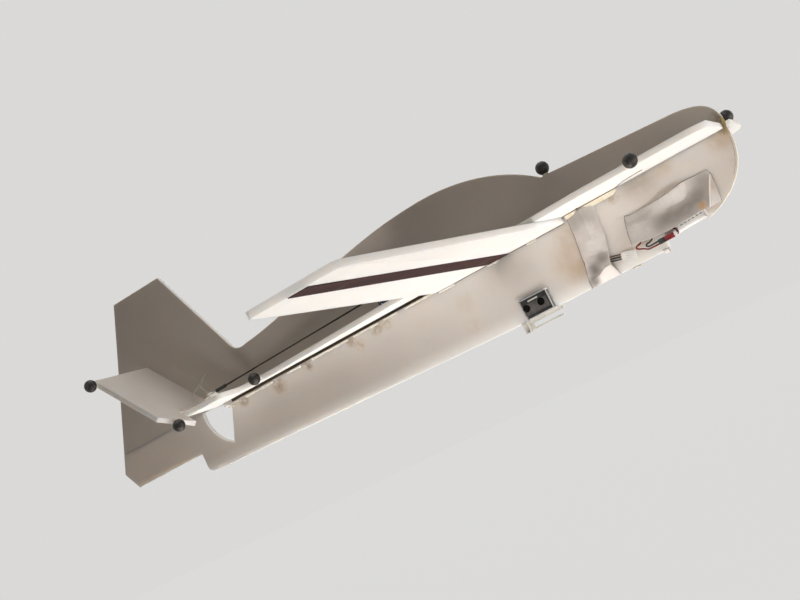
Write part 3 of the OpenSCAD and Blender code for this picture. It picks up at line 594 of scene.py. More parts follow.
for side, hand in HANDS:
    # Film over the wing's front edge
    rows = []
    for i in range(25):
        y = FILM_ROOT + (FILM_TIP - FILM_ROOT) * i / 24
        front = WING_FRONT - WING_SWEEP * (y - 3) - 0.6
        back = min(front - 1.5, 398 + 46 * (y - FILM_ROOT) / (FILM_TIP - FILM_ROOT))
        rows.append([at(front + (back - front) * k / 4, side * y, -9.06) for k in range(5)])
    film("wing_edge_film_" + hand, rows, FILM, 0.06)
    # Runs of glue along the strip in the corner under the deck, and along the wing's root
    for i, (start, end, low) in enumerate(GLUE_RUNS):
        count = max(4, int((end - start) / 3))
        line = [at(start + (end - start) * k / count, side * (3.4 + 0.15 * ripple(k, start, side, 0.7)),
                   low + 0.25 * ripple(k, side, start, 0.4)) for k in range(count + 1)]
        tube("corner_glue_%s_%d" % (hand, i + 1), line, 1.5, BEAD, steps=2,
             radii=lambda t, s=start: 0.8 + 0.5 * ripple(t * 40, s, 1, 0.8))
    line = [at(309 + 155 * k / 40, side * 3.3, -9.3 - 0.2 * ripple(k, 6, side, 0.5)) for k in range(41)]
    tube("root_seam_" + hand, line, 0.3, STAIN_AND_SHADOW, steps=2)
    # Cream fillet ahead of the wing, with a gap under the deck
    rows = []
    for i in range(61):
        x = FILLET_REAR + FILLET_LENGTH * i / 60
        taper = min(1.0, (60 - i) / 6 + 0.25)
        wide = taper * (3.6 + 0.4 * ripple(x, 2, side, 0.35))
        tall = taper * (4.2 + 0.4 * ripple(x, 5, side, 0.3))
        rows.append([at(x, side * (3.15 + wide * k / 6), -3.75 - tall * (1 - k / 6) ** 1.4)
                     for k in range(7)])
    film("corner_fillet_" + hand, rows, CREAM, 0.5)
    # A dark line in the gap between the fillet and the deck: painted shadow
    line = [at(FILLET_REAR + FILLET_LENGTH * i / 30, side * (7.0 + 0.3 * ripple(i, 3, side, 0.4)), -3.3)
            for i in range(31)]
    tube("corner_gap_shadow_" + hand, line, 0.3, STAIN_AND_SHADOW, steps=2)

# Dark line along the lifted edge of the film under the deck: painted shadow of that edge
LIFTED = [(525, -7.4), (530, -12), (535, -19), (541, -26), (552, -30), (562, -31)]
tube("deck_film_edge_shadow", [at(x, y, -3.3) for x, y in LIFTED], 0.35, STAIN_AND_SHADOW)

# Filler in the seam between the two plates behind the hinge
for side, hand in HANDS:
    rows = [[at(x, side * 2.965, z) for z in (-0.6, -0.3, 0, 0.3, 0.6)] for x in range(-144, -17, 9)]
    film("tail_seam_" + hand, rows, FILLER, 0.05)


def swell(ends, rise, shift=0.0):
    """Radii of a drop: thin at both ends and thick between them."""
    return lambda t: ends + rise * math.sin(math.pi * min(1.0, t + shift))


# Drop of old glue where the deck meets the plates at the nose
DROP = [(642.6, 9), (643, 4.5), (642.6, 0), (641.4, -5), (638, -8.5)]
tube("nose_glue", [at(x, -3.6, z) for x, z in DROP], 1.5, AMBER, radii=swell(0.35, 0.9, 0.1))

# Tape over the servo lead

# Rows of a coarse net from top to bottom: station, height and how far the sheet stands off the foam
STRIP_NET = [
    [(468.5, -5.5, 0.3), (477, -5, 1.2), (484, -4.5, 4.4), (498.5, -6, 0.3)],
    [(468, -14, 0.3), (477, -14, 1.2), (484, -13, 3.6), (497.5, -14, 0.4)],
    [(467.5, -25, 0.4), (476.5, -25, 2.2), (483.5, -25, 4.2), (496, -25, 1.2)],
    [(466, -36, 0.7), (475, -36, 4.4), (483, -37, 5.6), (495.5, -38, 3.6)],
    [(465.5, -41.5, 1.0), (475, -43, 3.8), (483, -44, 4.4), (494, -44, 3.6)],
    [(464, -48.5, 0.4), (477, -51, 1.4), (483, -52, 2.6), (491, -53, 2.4)],
    [(464.5, -54.5, 2.6), (474.5, -60, 4.8), (483, -60.5, 6.2), (490, -60, 6.0)],
    [(460, -73, 0.9), (474.5, -71, 6.6), (482, -67.5, 9.0), (489, -67, 8.4)],
    [(460, -79.2, 0.3), (471, -79.2, 0.3), (482, -79.2, 0.3), (491.5, -79.2, 0.3)],
]
PATCH_NET = [
    [(520.5, -31.5, 0.4), (526, -33, 0.4), (537, -32.5, 0.5), (547, -32.5, 1.8), (557.5, -32.5, 5.2),
     (571, -31, 6.2), (580.5, -29, 4.4), (586.5, -28.5, 0.8), (598, -29, 0.4), (609, -29.5, 0.4),
     (610.5, -33, 0.4)],
    [(518.5, -38, 0.8), (526, -39, 1.4), (537, -39, 1.8), (546, -36.5, 1.6), (559, -43.5, 1.6),
     (570, -44.5, 1.6), (579, -44, 1.4), (584, -40, 1.0), (598, -37, 1.2), (609.5, -35, 1.8),
     (611, -37.5, 0.4)],
    [(517.5, -43, 3.2), (526, -44, 6.2), (537, -44.5, 6.5), (546, -46, 6.0), (558, -49, 5.2),
     (570, -49, 5.0), (580, -48.5, 4.8), (588, -47, 4.6), (599, -46, 4.2), (605.5, -43, 3.4),
     (610.5, -45, 0.4)],
    [(516.5, -50, 4.8), (526, -51, 6.6), (537, -52, 6.8), (546, -55, 8.4), (558, -54.5, 8.9),
     (570, -54, 8.9), (580, -53.5, 8.9), (588, -53, 8.8), (595, -53, 7.8), (601, -53, 6.2),
     (609.5, -54, 0.4)],
    [(515.5, -60, 4.8), (524, -61, 6.8), (537, -63.5, 8.4), (546, -64.5, 9.6), (558, -64, 10.4),
     (570, -63.2, 10.6), (580, -62.6, 10.6), (588, -62.2, 10.4), (592.5, -62, 9.8), (597, -62.5, 8.0),
     (608.5, -61.5, 0.4)],
]
# Where a sheet with no stand-off lies, just outside the plate's face, and the least that it stands off
TAPE_FACE = -3.15
TAPE_GAP = 0.1


def between(a, b, t):
    """A point on the way between two points of a net."""
    return tuple(p + (q - p) * t for p, q in zip(a, b))


def refined(line, cells):
    """A line of points with the given number of steps in each stretch."""
    fine = [between(a, b, k / cells) for a, b in zip(line, line[1:]) for k in range(cells)]
    return fine + [line[-1]]


def draped(net, cells, ragged):
    """Points of a sheet over a net: flat facets, creases along the net, small wrinkles and ragged edges."""
    columns = [refined(column, cells) for column in zip(*net)]
    grid = [refined(row, cells) for row in zip(*columns)]
    last_row, last_column = len(grid) - 1, len(grid[0]) - 1
    rows = []
    for i, line in enumerate(grid):
        row = []
        for j, (x, z, off) in enumerate(line):
            wrinkle = 0.22 * ripple(x, 4, z, 0.3) + 0.1 * ripple(x, 8, z, 0.8)
            jag_z = ragged * ripple(x, 0, z, 0.6) if i in (0, last_row) else 0.0
            jag_x = ragged * ripple(7, x, z, 0.5) if j in (0, last_column) else 0.0
            lift = max(TAPE_GAP, off + wrinkle * min(1.0, off))
            row.append(at(x + jag_x, TAPE_FACE - lift, z + jag_z))
        rows.append(row)
    return rows


def tape_edge(name, line, radius, mat):
    """A thin line along an edge of a net."""
    points = [at(x, TAPE_FACE - max(TAPE_GAP, off), z) for x, z, off in line]
    return tube(name, points, radius, mat, steps=1)


# Facets that meet at more than this angle keep a sharp crease
CREASE = 13
WRAP_REAR, WRAP_WIDTH = 460, 31.5
WRAP_UNDER, WRAP_SIDE = 8, 18

rows = draped(STRIP_NET, 10, 0.8)
across = len(rows[0])
wrap_x = [WRAP_REAR + WRAP_WIDTH * j / (across - 1) for j in range(across)]
# Under the belly's edge and up the other side
for i in range(1, WRAP_UNDER + 1):
    y = -3.4 + 6.8 * i / WRAP_UNDER
    rows.append([at(x, y, -79.22) for x in wrap_x])
for i in range(1, WRAP_SIDE + 1):
    z = -79 + 24 * i / WRAP_SIDE
    ragged = 0.8 if i == WRAP_SIDE else 0.0
    rows.append([at(x + 0.4 * ripple(j, 1, i, 0.3), 3.3 + 0.2 * (1 + ripple(j, 2, i, 0.4)),
                    z + ragged * ripple(j, 5, 0, 0.6)) for j, x in enumerate(wrap_x)])
wrap = film("tape_wrap", rows, TAPE_PALE, 0.22, replaced=["tape_strip"], angle=CREASE)
# A lighter line on the strip's lifted front edge as a painted highlight, and a dark line along its rear edge
# as painted shadow
wrap_rim = tape_edge("tape_wrap_rim", [row[-1] for row in STRIP_NET], 0.4, TAPE_HIGHLIGHT)
wrap_line = tape_edge("tape_wrap_line", [row[0] for row in STRIP_NET], 0.25, STAIN_AND_SHADOW)

# Tape over battery and receiver, with a pinched fold at its front

cover = film("tape_cover", draped(PATCH_NET, 8, 0.7), TAPE, 0.22, replaced=["tape_patch"],
             angle=CREASE)
# Dark lines along the patch's top, rear and front edges: painted shadow of the edges
PATCH_EDGES = {
    "top": PATCH_NET[0],
    "rear": [row[0] for row in PATCH_NET],
    "front": [row[-1] for row in PATCH_NET],
}
trims = [tape_edge("tape_cover_" + label, line, 0.25, STAIN_AND_SHADOW) for label, line in PATCH_EDGES.items()]
# The pinched fold, in the lighter tape as a painted highlight
pinch = refined([(609.5, -35, 2.0), (605.5, -43, 3.6), (601, -53, 6.4), (597, -62.3, 8.2)], 6)
rows = [[at(x + 0.3 * k + 0.25 * ripple(x, k, z, 0.5), -3.2 - off - 1.1 * math.sin(math.pi * k / 5),
            z + 0.1 * k) for k in range(6)] for x, z, off in pinch]
trims.append(film("tape_fold", rows, TAPE_HIGHLIGHT, 0.2))

# Helpers for small hardware


def turned(obj, pivot, degrees):
    """Turns a mesh piece about the crosswise axis through a point, nose down for a positive angle."""
    turn = Matrix.Rotation(math.radians(degrees), 4, "Y")
    obj.data.transform(Matrix.Translation(pivot) @ turn @ Matrix.Translation(-pivot))
    return obj


def ring_faces(rings, sides):
    """Faces between rings of points, with a cap at both ends."""
    last = (rings - 1) * sides
    faces = []
    for low in range(0, last, sides):
        for k in range(sides):
            after = (k + 1) % sides
            faces.append((low + k, low + after, low + sides + after, low + sides + k))
    return faces + [tuple(range(sides - 1, -1, -1)), tuple(range(last, last + sides))]


def lathe(name, profile, center, direction, mat, body="airframe", replaced=(), sides=40,
          wobble=None):
    """A turned shape: (height, radius) pairs in millimetres along a direction from a point."""
    axis = direction.normalized()
    side = axis.orthogonal().normalized()
    other = axis.cross(side)
    verts = []
    for i, (height, radius) in enumerate(profile):
        for k in range(sides):
            angle = math.tau * k / sides
            reach = radius + (wobble(i / (len(profile) - 1), angle) if wobble else 0.0)
            out = math.cos(angle) * side + math.sin(angle) * other
            verts.append(center + (height * axis + reach * out) / 1000)
    return mesh_piece(name, verts, ring_faces(len(profile), sides), mat, body, replaced, 40)


def screw(name, center, direction, radius, body="airframe"):
    """A screw head with a dished top, in millimetres."""
    shares = [(0, 1), (0.35, 1), (0.55, 0.85), (0.62, 0.45), (0.3, 0.38), (0.28, 0.05)]
    profile = [(height, radius * share) for height, share in shares]
    return lathe(name, profile, center, direction, STEEL, body, sides=28)


STARBOARD = Vector((0, -1, 0))

# Servo lead: three wires side by side, from the servo to the plug

PLUG_TILT = 15
PLUG_END = (501, -4.5, -65)
LEAD_END = (496.17, -4.5, -63.71)
LEAD = [
    (275, -12, 9.5), (277, -12, 9.5), (282, -12, 8.1), (289, -12, 5.3), (300, -12, 4.3), (350, -11, 4.3),
    (400, -10, 4.3), (440, -9, 4.3), (470, -7.4, 4.3), (480, -6.8, 4.3), (482.4, -6.5, 2.8),
    (483, -6.2, 0.5), (483, -5.8, -3), (483, -5, -6.5), (483, -4.6, -10), (483, -4.5, -14),
    (482, -4.5, -24), (481, -4.5, -36), (481, -4.5, -49), (483, -4.5, -56), (487, -4.5, -61),
    (491, -4.5, -62.5), LEAD_END, PLUG_END,
]
WIRE_PITCH = 1.1
# Points of the lead where it leaves the deck, lies along the plate and starts to fan out
DECK_RUN, PLATE_RUN, FAN_OUT = 9, 15, 18


def across_lead(index):
    """Which way the three wires lie beside each other at a point of the lead, and how far apart."""
    if index <= DECK_RUN:
        return Vector((0, WIRE_PITCH, 0))
    if index < PLATE_RUN:
        turn = (index - DECK_RUN) / (PLATE_RUN - DECK_RUN)
        return WIRE_PITCH * Vector((turn, 1 - turn, 0))
    fan = max(0.0, (index - FAN_OUT) / (len(LEAD) - 1 - FAN_OUT))
    return Vector((WIRE_PITCH * (1 - fan), 0, 2.4 * min(1.0, 1.6 * fan)))


for count, mat in ((-1, DARK), (0, DARK), (1, BROWN)):
    wires = [at(*(Vector(p) + count * across_lead(i))) for i, p in enumerate(LEAD)]
    tube("servo_wire_%d" % (count + 2), wires, 0.56, mat, replaced=["servo_lead"])


def plug_block(name, low, high, mat, ease, replaced=()):
    """A box on the servo plug, which is tilted as a whole."""
    bit = block(name, low, high, mat, ease=ease, replaced=replaced)
    return turned(bit, at(*PLUG_END), PLUG_TILT)


plug_block("servo_plug_shell", (501, -6, -69), (515, -3, -61), PLUG, 0.4, ["servo_plug"])
PLUG_PITCH = 2.5
for count in (1, 2, 3):
    z = PLUG_END[2] + PLUG_PITCH * (count - 2)
    if count < 3:
        rib_z = z + PLUG_PITCH / 2
        plug_block("servo_plug_rib_%d" % count, (503, -6.2, rib_z - 0.28), (513.5, -5.9, rib_z + 0.28),
                   PLUG, 0.08)
    plug_block("servo_plug_contact_%d" % count, (504.5, -6.2, z - 0.12), (509.5, -5.9, z + 0.12),
               TIN, 0.08)
plug_block("servo_plug_collar", (500.2, -5.6, -68.2), (501.4, -3.4, -61.8), PLUG, 0.3)

# Battery: a wrapped cell with crimped ends, tilted nose up

CELL_LENGTH, CELL_HALF_T, CELL_HALF_H = 46, 4, 8
CELL_MIDDLE = (569, -7, -62)
CELL_TILT = -4
# Power of the rounded section, where one is an ellipse and less is squarer
CELL_CORNER = 0.45
# Distance from the end, share of the thickness and share of the height
CRIMP = [(0, 0.10, 0.93), (0.6, 0.30, 0.96), (1.6, 0.62, 0.98), (3, 0.90, 1.0), (5, 0.985, 1.0)]
cell_rear = CELL_MIDDLE[0] - CELL_LENGTH / 2
stations = [(cell_rear + run, deep, tall) for run, deep, tall in CRIMP]
stations += [(cell_rear + 9 + 4 * i, 1.0, 1.0) for i in range(8)]
stations += [(cell_rear + CELL_LENGTH - run, deep, tall) for run, deep, tall in reversed(CRIMP)]
verts = []
around = 56
for x, deep, tall in stations:
    for k in range(around):
        angle = math.tau * k / around
        c, s = math.cos(angle), math.sin(angle)
        y = CELL_HALF_T * deep * math.copysign(abs(c) ** CELL_CORNER, c)
        z = CELL_HALF_H * tall * math.copysign(abs(s) ** CELL_CORNER, s)
        dent = 0.985 + 0.015 * ripple(x, 5 * c, 5 * s, 0.35)
        verts.append(at(x, CELL_MIDDLE[1] + y * dent, CELL_MIDDLE[2] + z * dent))
cell = mesh_piece("battery_cell", verts, ring_faces(len(stations), around), CELL,
                  replaced=["battery"], angle=50)
turned(cell, at(*CELL_MIDDLE), CELL_TILT)
# Dark dashes on the cell along the tape's lower edge
for i in range(6):
    x = cell_rear + 19 + 4.2 * i
    mark = block("battery_dash_%d" % (i + 1), (x, -11.02, -64.6), (x + 2.6, -10.8, -64.0), DARK,
                 ease=0.05)
    turned(mark, at(*CELL_MIDDLE), CELL_TILT)
rows = [[at(590.4 + 1.2 * math.sin(v / 5 * 1.4), -10.6 + 7.2 * u / 6, -60.5 - 10.5 * v / 5) for u in range(7)]
        for v in range(6)]
film("battery_end_tab", rows, TAPE_PALE, 0.3)

# Receiver: a board with its parts, under the tape

BOARD_FACE = -4.4
block("receiver_board", (521, BOARD_FACE, -59), (545, -3.2, -44), BOARD, ease=0.12,
      replaced=["receiver"])
# Two corners and the height of each chip
CHIPS = [
    (524, -58, 531, -51, 1.4), (533, -57, 537, -53, 1.0), (539, -58, 543.5, -55, 2.2),
    (523, -49, 526, -46, 1.1), (529, -50, 538, -46, 4.0), (540, -52, 543.5, -47, 1.5),
]
for i, (x0, z0, x1, z1, tall) in enumerate(CHIPS):
    block("receiver_chip_%d" % (i + 1), (x0, BOARD_FACE - tall, z0), (x1, BOARD_FACE + 0.1, z1), BLACK,
          ease=0.15)
for i in range(5):
    x = 530 + 1.9 * i
    block("receiver_pin_%d" % (i + 1), (x, -8.9, -49.2), (x + 0.6, -8.3, -46.6), TIN,
          ease=0.1)

# Torn tape and crumbs of glue along the belly, and crumbs at the joiner's hole

rows = [[at(538.6 + 5 * u / 6 + 0.3 * ripple(u, v, 1, 0.8), -4.2 * math.cos(math.pi * v / 10),
            -77 - 4.6 * math.sin(math.pi * v / 10)) for u in range(7)] for v in range(11)]
film("belly_tab", rows, TAPE_PALE, 0.3)
for i, (x, long, low) in enumerate(((503.5, 5.5, -80.3), (509.5, 3, -80.2), (513, 2.4, -80.5))):
    line = [at(x + long * k / 5, -2.2 + 0.4 * ripple(k, i, 2, 0.9), low + 0.35 * ripple(k, i, 5, 0.9))
            for k in range(6)]
    tube("belly_bit_%d" % (i + 1), line, 0.8, GLUE, radii=swell(0.5, 0.8))
for i, (x, z) in enumerate(((10.5, -7), (15.5, -9.4), (19.5, -10.4))):
    line = [at(x + 1.6 * k, -3.3, z + 0.5 * ripple(k, i, 8, 0.9)) for k in range(4)]
    tube("hole_bit_%d" % (i + 1), line, 0.8, GLUE, radii=swell(0.4, 0.9))

# Worn edge of the plate around the nose
NOSE_CURVE = [(544, -77), (614, -75), (644, -47), (644, -9)]


def nose_edge(t):
    """Point of the lower plate's nose outline."""
    s = 1 - t
    weights = (s ** 3, 3 * s * s * t, 3 * s * t * t, t ** 3)
    return tuple(sum(w * p[i] for w, p in zip(weights, NOSE_CURVE)) for i in range(2))


for label, inset, mat, radius, first in (("rim", 0.4, CREAM, 0.55, 0.3), ("line", 2.4, STAIN_AND_SHADOW, 0.16, 0.62)):
    line = []
    for k in range(49):
        x, z = nose_edge(first + (0.985 - first) * k / 48)
        aim = Vector((600 - x, 0, -20 - z)).normalized()
        line.append(at(x + inset * aim.x, -2.9 - 0.2 * (label == "line"), z + inset * aim.z))
    tube("nose_edge_" + label, line, radius, mat, steps=2,
         radii=lambda t: 0.8 + 0.6 * ripple(t * 50, 2, 4, 0.7))

# Power leads and their connector

RED_ROUTE = [
    (524, -6, -59), (524, -6, -60.5), (522, -6.6, -62.2), (519, -7.4, -63), (518, -8.2, -64.6),
    (520, -9, -66.4), (524, -9.6, -68), (528, -10.2, -70.4), (532, -11.2, -70.8), (536, -12.4, -71),
    (538.5, -13, -71), (541, -13, -71),
]
BLACK_ROUTE = [
    (536, -6, -59), (536, -6, -60.5), (535, -7.5, -63.4), (532, -8.6, -65), (529, -9.6, -65.6),
    (528, -10.4, -67), (530, -11.2, -68.4), (534, -12.3, -68.6), (538.5, -13, -68.4), (541, -13, -68.4),
]
tube("power_wire_red", [at(*p) for p in RED_ROUTE], 0.8, RED, replaced=["battery_lead_red"])
tube("power_wire_black", [at(*p) for p in BLACK_ROUTE], 0.8, DARK, replaced=["battery_lead_black"])
block("power_plug_shell", (541, -16, -72), (548, -11, -67), BLACK, ease=0.45,
      replaced=["battery_plug"])
for i in range(3):
    x = 542.4 + 1.6 * i
    block("power_plug_grip_%d" % (i + 1), (x, -16.0, -71.4), (x + 0.7, -15.4, -67.6), PANEL,
          ease=0.15)
block("power_socket_shell", (548, -16, -72), (560, -11, -67), SOCKET, ease=0.4,
      replaced=["battery_socket"])
block("power_socket_rim", (557.4, -16.04, -72.04), (560.1, -11.05, -66.96), PLUG,
      ease=0.35)
block("power_socket_key", (549, -16.0, -71.6), (552.5, -15.6, -70), PLUG, ease=0.15)
CELL_RED = [
    (559.6, -13.2, -70.4), (560.8, -13.2, -70.2), (561.6, -13, -68.8), (561.2, -12.5, -66.6),
    (560, -12.1, -64.4), (557, -11.9, -62), (551, -11.8, -60.5), (548, -11.6, -60),
]
CELL_BLACK = [
    (559.6, -13.6, -68.4), (560.6, -13.6, -68.2), (561, -13.3, -67), (560, -12.6, -65.4),
    (557.6, -12.2, -63.4), (554, -12, -61.8), (550, -11.8, -61.4), (547, -11.6, -61.4),
]
tube("cell_wire_red", [at(*p) for p in CELL_RED], 0.65, RED)
tube("cell_wire_black", [at(*p) for p in CELL_BLACK], 0.65, DARK)

# Servo

softened("servo_case", BLUE, 0.5)
for label, y in (("outer", -19.4), ("inner", -8.4)):
    block("servo_seam_" + label, (254.96, y - 0.14, 4.98), (275.04, y + 0.14, 14.02), BLACK,
          ease=0.06)
TOWER = [(0, 4.3), (1.2, 4.3), (1.6, 3.9), (1.6, 2.5), (1.0, 2.45)]
lathe("servo_tower", TOWER, at(270, -23, 9.5), STARBOARD, BLUE)
for x in (256.6, 273.4):
    for z in (6.5, 12.5):
        screw("servo_screw_%d_%d" % (x, z), at(x, -22.95, z), STARBOARD, 0.75)
softened("servo_arm", NYLON, 0.3)
softened("servo_shaft", NYLON, 0.2)
head = screw("arm_screw_head", at(270, -28.8, 9.5), STARBOARD, 1.5, body="servo_arm")
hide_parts("servo_arm_screw")
softened("servo_pad", PAD, 0.4)
softened("control_horn", SHEET, 0.2)
horn_low, horn_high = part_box("control_horn")
horn_y = (horn_low.y + horn_high.y) * 1000 / 2
HORN_RIM = [(-6, 18.4), (4, 23.5), (14, 28.5), (23, 33)]
HORN_BAR = [(9.9, 24.4), (11.6, 21), (13.6, 17.2), (15.4, 13.8)]
# The horn's edge in the whitish edge finish, in part a painted highlight
tube("horn_rim", [at(x, horn_y, z) for x, z in HORN_RIM], 0.35, EDGE, body="elevator")
tube("horn_bar", [at(x, horn_y - 0.9, z) for x, z in HORN_BAR], 0.8, NYLON, body="elevator",
     radii=lambda t: 1.1 - 0.3 * t)
for node in ("pushrod_sleeve_rear", "pushrod_sleeve_front"):
    softened(node, BLACK, 0.35)

# Perch latch

softened("latch_housing", SHEET, 0.25)
# Edges of the housing in the whitish edge finish, in part a painted highlight
EDGE_RUNS = [
    ((385, -9, -79), (386.1, -7.9, -57)),
    ((416.9, -9, -79), (418, -7.9, -57)),
    ((385, -9, -79), (418, -7.9, -77.9)),
]
for i, (low, high) in enumerate(EDGE_RUNS):
    block("latch_edge_%d" % (i + 1), low, high, EDGE, ease=0.3)
softened("latch_block", BLACK, 0.5)
# A dark strip along the housing's top edge: painted shade
block("latch_top_shade", (386.2, -8.7, -58.7), (416.8, -4.7, -58.05), BLACK, ease=0.15)
PANEL_FACE = -5.0
EYES = (390.0, 407.0)
block("latch_panel", (387.4, PANEL_FACE - 0.35, -74.2), (413.6, PANEL_FACE + 0.1, -63.4), PANEL,
      ease=0.25)
EYE = [(0, 3.9), (0.5, 3.8), (0.7, 3.5), (0.62, 3.1), (0.3, 2.9), (0.25, 2.4), (0.45, 1.8), (0.6, 0.2)]
for i, x in enumerate(EYES):
    lathe("latch_eye_%d" % (i + 1), EYE, at(x, PANEL_FACE - 0.3, -67), STARBOARD, LENS,
          sides=48)
block("latch_bar", (394, PANEL_FACE - 0.25, -61.8), (405.5, PANEL_FACE + 0.1, -60.2), NYLON,
      ease=0.2)
for node in ("latch_bracket", "latch_arm", "latch_lever"):
    softened(node, NYLON, 0.22)
softened("lever_pin", STEEL, 0.2)

# Spring: a coil on the pin with a leg up to the bracket

spring_low, spring_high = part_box("lever_spring")
SPRING_WIRE = 0.25
COILS, COIL_STEPS = 4, 24
coil_r = (spring_high.x - spring_low.x) / 2 - SPRING_WIRE / 1000
coil_x = (spring_high.x + spring_low.x) / 2
first_y = spring_high.y - SPRING_WIRE / 1000
last_y = spring_low.y + SPRING_WIRE / 1000
coil_z = spring_low.z + coil_r + SPRING_WIRE / 1000
coil = [Vector((coil_x + coil_r, first_y, spring_high.z - 0.0001))]
for i in range(COILS * COIL_STEPS + 1):
    angle = math.tau * i / COIL_STEPS
    y = first_y + (last_y - first_y) * i / (COILS * COIL_STEPS)
    coil.append(Vector((coil_x + coil_r * math.cos(angle), y, coil_z - coil_r * math.sin(angle))))
tube("spring_coil", coil, SPRING_WIRE, STEEL, replaced=["lever_spring"], steps=0)

# Markers: balls wrapped in gores of film, on glued bases

MARKER_R = 7.0
# Height of a ball's middle above its flat foot, as a share of the radius
FOOT_SHARE = 0.9
GORES = 8
FILLET = [(-0.5, 2.9), (-0.1, 3.25), (0.15, 3.3), (0.4, 2.95), (0.5, 2.6)]
MARKERS = (
    "marker_nose_right", "marker_nose_left", "marker_top", "marker_tail", "marker_elevator_corner",
    "marker_elevator_tip",
)


def ball_of(node):
    """Centre of a marker ball and the way from its flat foot to its top."""
    shape = merged(node)
    foot = max(shape.faces, key=lambda face: face.calc_area())
    center = foot.calc_center_median()
    inward = -foot.normal.copy()
    shape.free()
    return center + inward * FOOT_SHARE * MARKER_R / 1000, inward


def gore_seam(t, angle):
    """Grooves between the gores, with a little slack in the film."""
    near = abs((angle / math.tau * GORES) % 1.0 - 0.5)
    slack = ripple(9 * t, 4 * math.cos(angle), 4 * math.sin(angle), 0.9)
    return -0.16 * ridge(0.5 - near, 0.07) + 0.05 * slack - 0.06


ball = []
start = math.pi - math.acos(FOOT_SHARE)
for i in range(41):
    polar = start - (start - 0.03) * i / 40
    lip = 0.08 if i > 36 else 0.0
    ball.append((MARKER_R * math.cos(polar) - lip, max(0.1, MARKER_R * math.sin(polar) - lip)))
for node in MARKERS:
    center, way = ball_of(node)
    lathe(node + "_film", ball, center, way, MARKER, BODY_OF[node], [node], 64, gore_seam)
    foot = center - way * (FOOT_SHARE * MARKER_R + 0.15) / 1000
    lathe(node + "_glue", FILLET, foot, way, GLUE, BODY_OF[node], sides=32,
          wobble=lambda t, a: 0.12 * ripple(3 * t, 2 * math.cos(a), 2 * math.sin(a), 1.0))
for node in ("marker_bases", "elevator_marker_bases"):
    softened(node, NYLON, 0.15)

# Camera

VIEW_RIGHT = Vector((0.7966, 0.4145, -0.4401))
VIEW_UP = Vector((0.4408, 0.0999, 0.8920))
eye = at(791.3, -1147.7, -127.5)
back = VIEW_RIGHT.cross(VIEW_UP).normalized()
up = back.cross(VIEW_RIGHT).normalized()
camera = bpy.data.objects.new("camera", bpy.data.cameras.new("camera"))
camera.data.lens = 54
camera.data.sensor_width = 36
camera.data.clip_start = 0.01
camera.data.clip_end = 200
right = VIEW_RIGHT.normalized()
camera.matrix_world = Matrix([(right[i], up[i], back[i], eye[i]) for i in range(3)] + [(0, 0, 0, 1)])
bpy.context.scene.collection.objects.link(camera)
bpy.context.scene.camera = camera

# Surroundings

PALE = (0.70, 0.695, 0.685)
AMBIENT = (1.0, 0.87, 0.76)
AMBIENT_LEVEL = 0.13
FLOOR_SHARE = 0.8


def seen_directly(tree):
    """One for rays from the camera, from gloss and through clear sheet."""
    path = tree.nodes.new("ShaderNodeLightPath")
    value = path.outputs["Is Camera Ray"]
    for name in ("Is Glossy Ray", "Is Transmission Ray"):
        value = add_node(tree, "Math", {0: value, 1: path.outputs[name]}, operation="MAXIMUM").outputs[0]
    return value


world = bpy.data.worlds.new("studio")
bpy.context.scene.world = world
world.use_nodes = True
sky = world.node_tree
sky.nodes.clear()
ambient = add_node(sky, "Background", {"Color": (*AMBIENT, 1.0), "Strength": AMBIENT_LEVEL})
seen = add_node(sky, "Background", {"Color": (*PALE, 1.0)})
choose = add_node(sky, "MixShader", {"Fac": seen_directly(sky), 1: ambient.outputs[0], 2: seen.outputs[0]})
add_node(sky, "OutputWorld", {"Surface": choose.outputs[0]})

WARM = (1.0, 0.955, 0.915)
NEUTRAL = (1.0, 0.985, 0.965)


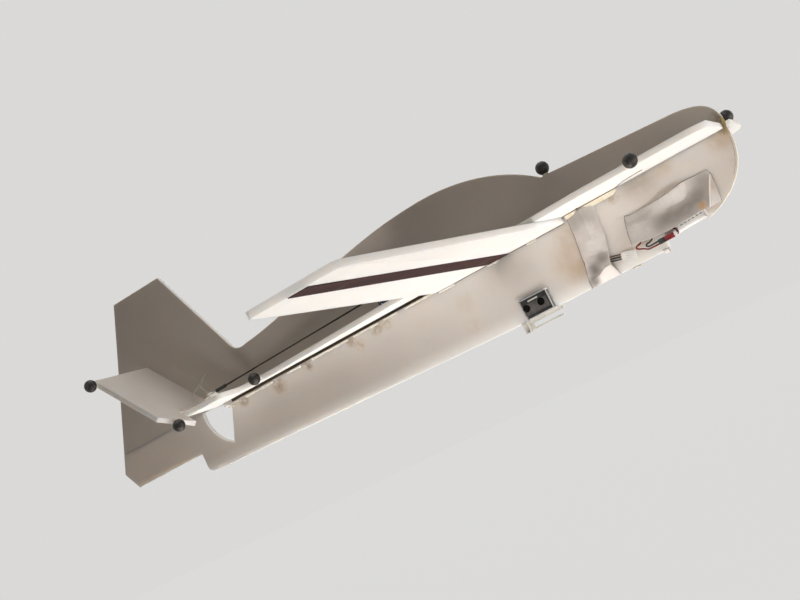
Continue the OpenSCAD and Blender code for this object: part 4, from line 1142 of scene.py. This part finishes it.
def lamp(name, place_mm, aim_mm, watts, size, color, spread=180):
    """A rectangular lamp with its sides in metres and the width of its beam in degrees."""
    light = bpy.data.lights.new(name, "AREA")
    light.shape = "RECTANGLE"
    light.size, light.size_y = size
    light.energy = watts
    light.color = color
    light.spread = math.radians(spread)
    obj = bpy.data.objects.new(name, light)
    obj.location = at(*place_mm)
    obj.rotation_euler = (at(*aim_mm) - at(*place_mm)).to_track_quat("-Z", "Y").to_euler()
    obj.visible_camera = False
    bpy.context.scene.collection.objects.link(obj)
    return obj


lamp("key_below", (120, -30, -600), (120, 0, 0), 3.2, (0.8, 0.2), WARM)
lamp("key_side", (540, -520, -640), (450, -20, -30), 0.47, (0.25, 0.25), WARM, 70)
lamp("key_tip", (480, -850, -480), (395, -446, -2), 0.1, (0.15, 0.15), WARM, 34)
lamp("key_tail", (250, -60, -440), (90, -20, -3), 0.05, (0.12, 0.12), WARM, 50)
lamp("key_front", (1150, -70, -260), (450, -60, 0), 3.0, (0.4, 0.4), WARM)
lamp("fill_port", (350, 1200, 350), (300, 0, 20), 8.0, (1.0, 1.0), NEUTRAL)
lamp("top_soft", (300, 300, 1500), (300, 0, 0), 12.0, (1.4, 1.4), NEUTRAL)

floor_paint = Paint("floor_paper", PALE, 0.9)
floor_paint.to("Base Color", floor_paint.mix(floor_paint.noise(0.6, 2.0), scaled(PALE, 0.98), PALE))
floor_tree = floor_paint.tree
# What the floor gives off itself, so that with the ambient light it shows in the pale tone
own_light = [(c - (1 - FLOOR_SHARE) * c * a * AMBIENT_LEVEL) / FLOOR_SHARE for c, a in zip(PALE, AMBIENT)]
lit = floor_paint.node("Emission", {"Color": (*own_light, 1.0)})
share = floor_paint.math("MULTIPLY", seen_directly(floor_tree), FLOOR_SHARE)
floor_mix = floor_paint.node("MixShader", {"Fac": share, 1: floor_paint.bsdf.outputs[0], 2: lit.outputs[0]})
join(floor_tree, floor_mix.outputs[0], floor_tree.nodes["Material Output"].inputs["Surface"])
FLOOR_Z = -1250
REACH = 40.0
level = at(0, 0, FLOOR_Z).z
floor_mesh = bpy.data.meshes.new("floor")
CORNERS = ((-1, -1), (1, -1), (1, 1), (-1, 1))
floor_mesh.from_pydata([(REACH * x, REACH * y, level) for x, y in CORNERS], [], [(0, 1, 2, 3)])
floor = bpy.data.objects.new("floor", floor_mesh)
floor_mesh.materials.append(floor_paint.mat)
bpy.context.scene.collection.objects.link(floor)

view = bpy.context.scene.view_settings
view.view_transform = "Standard"
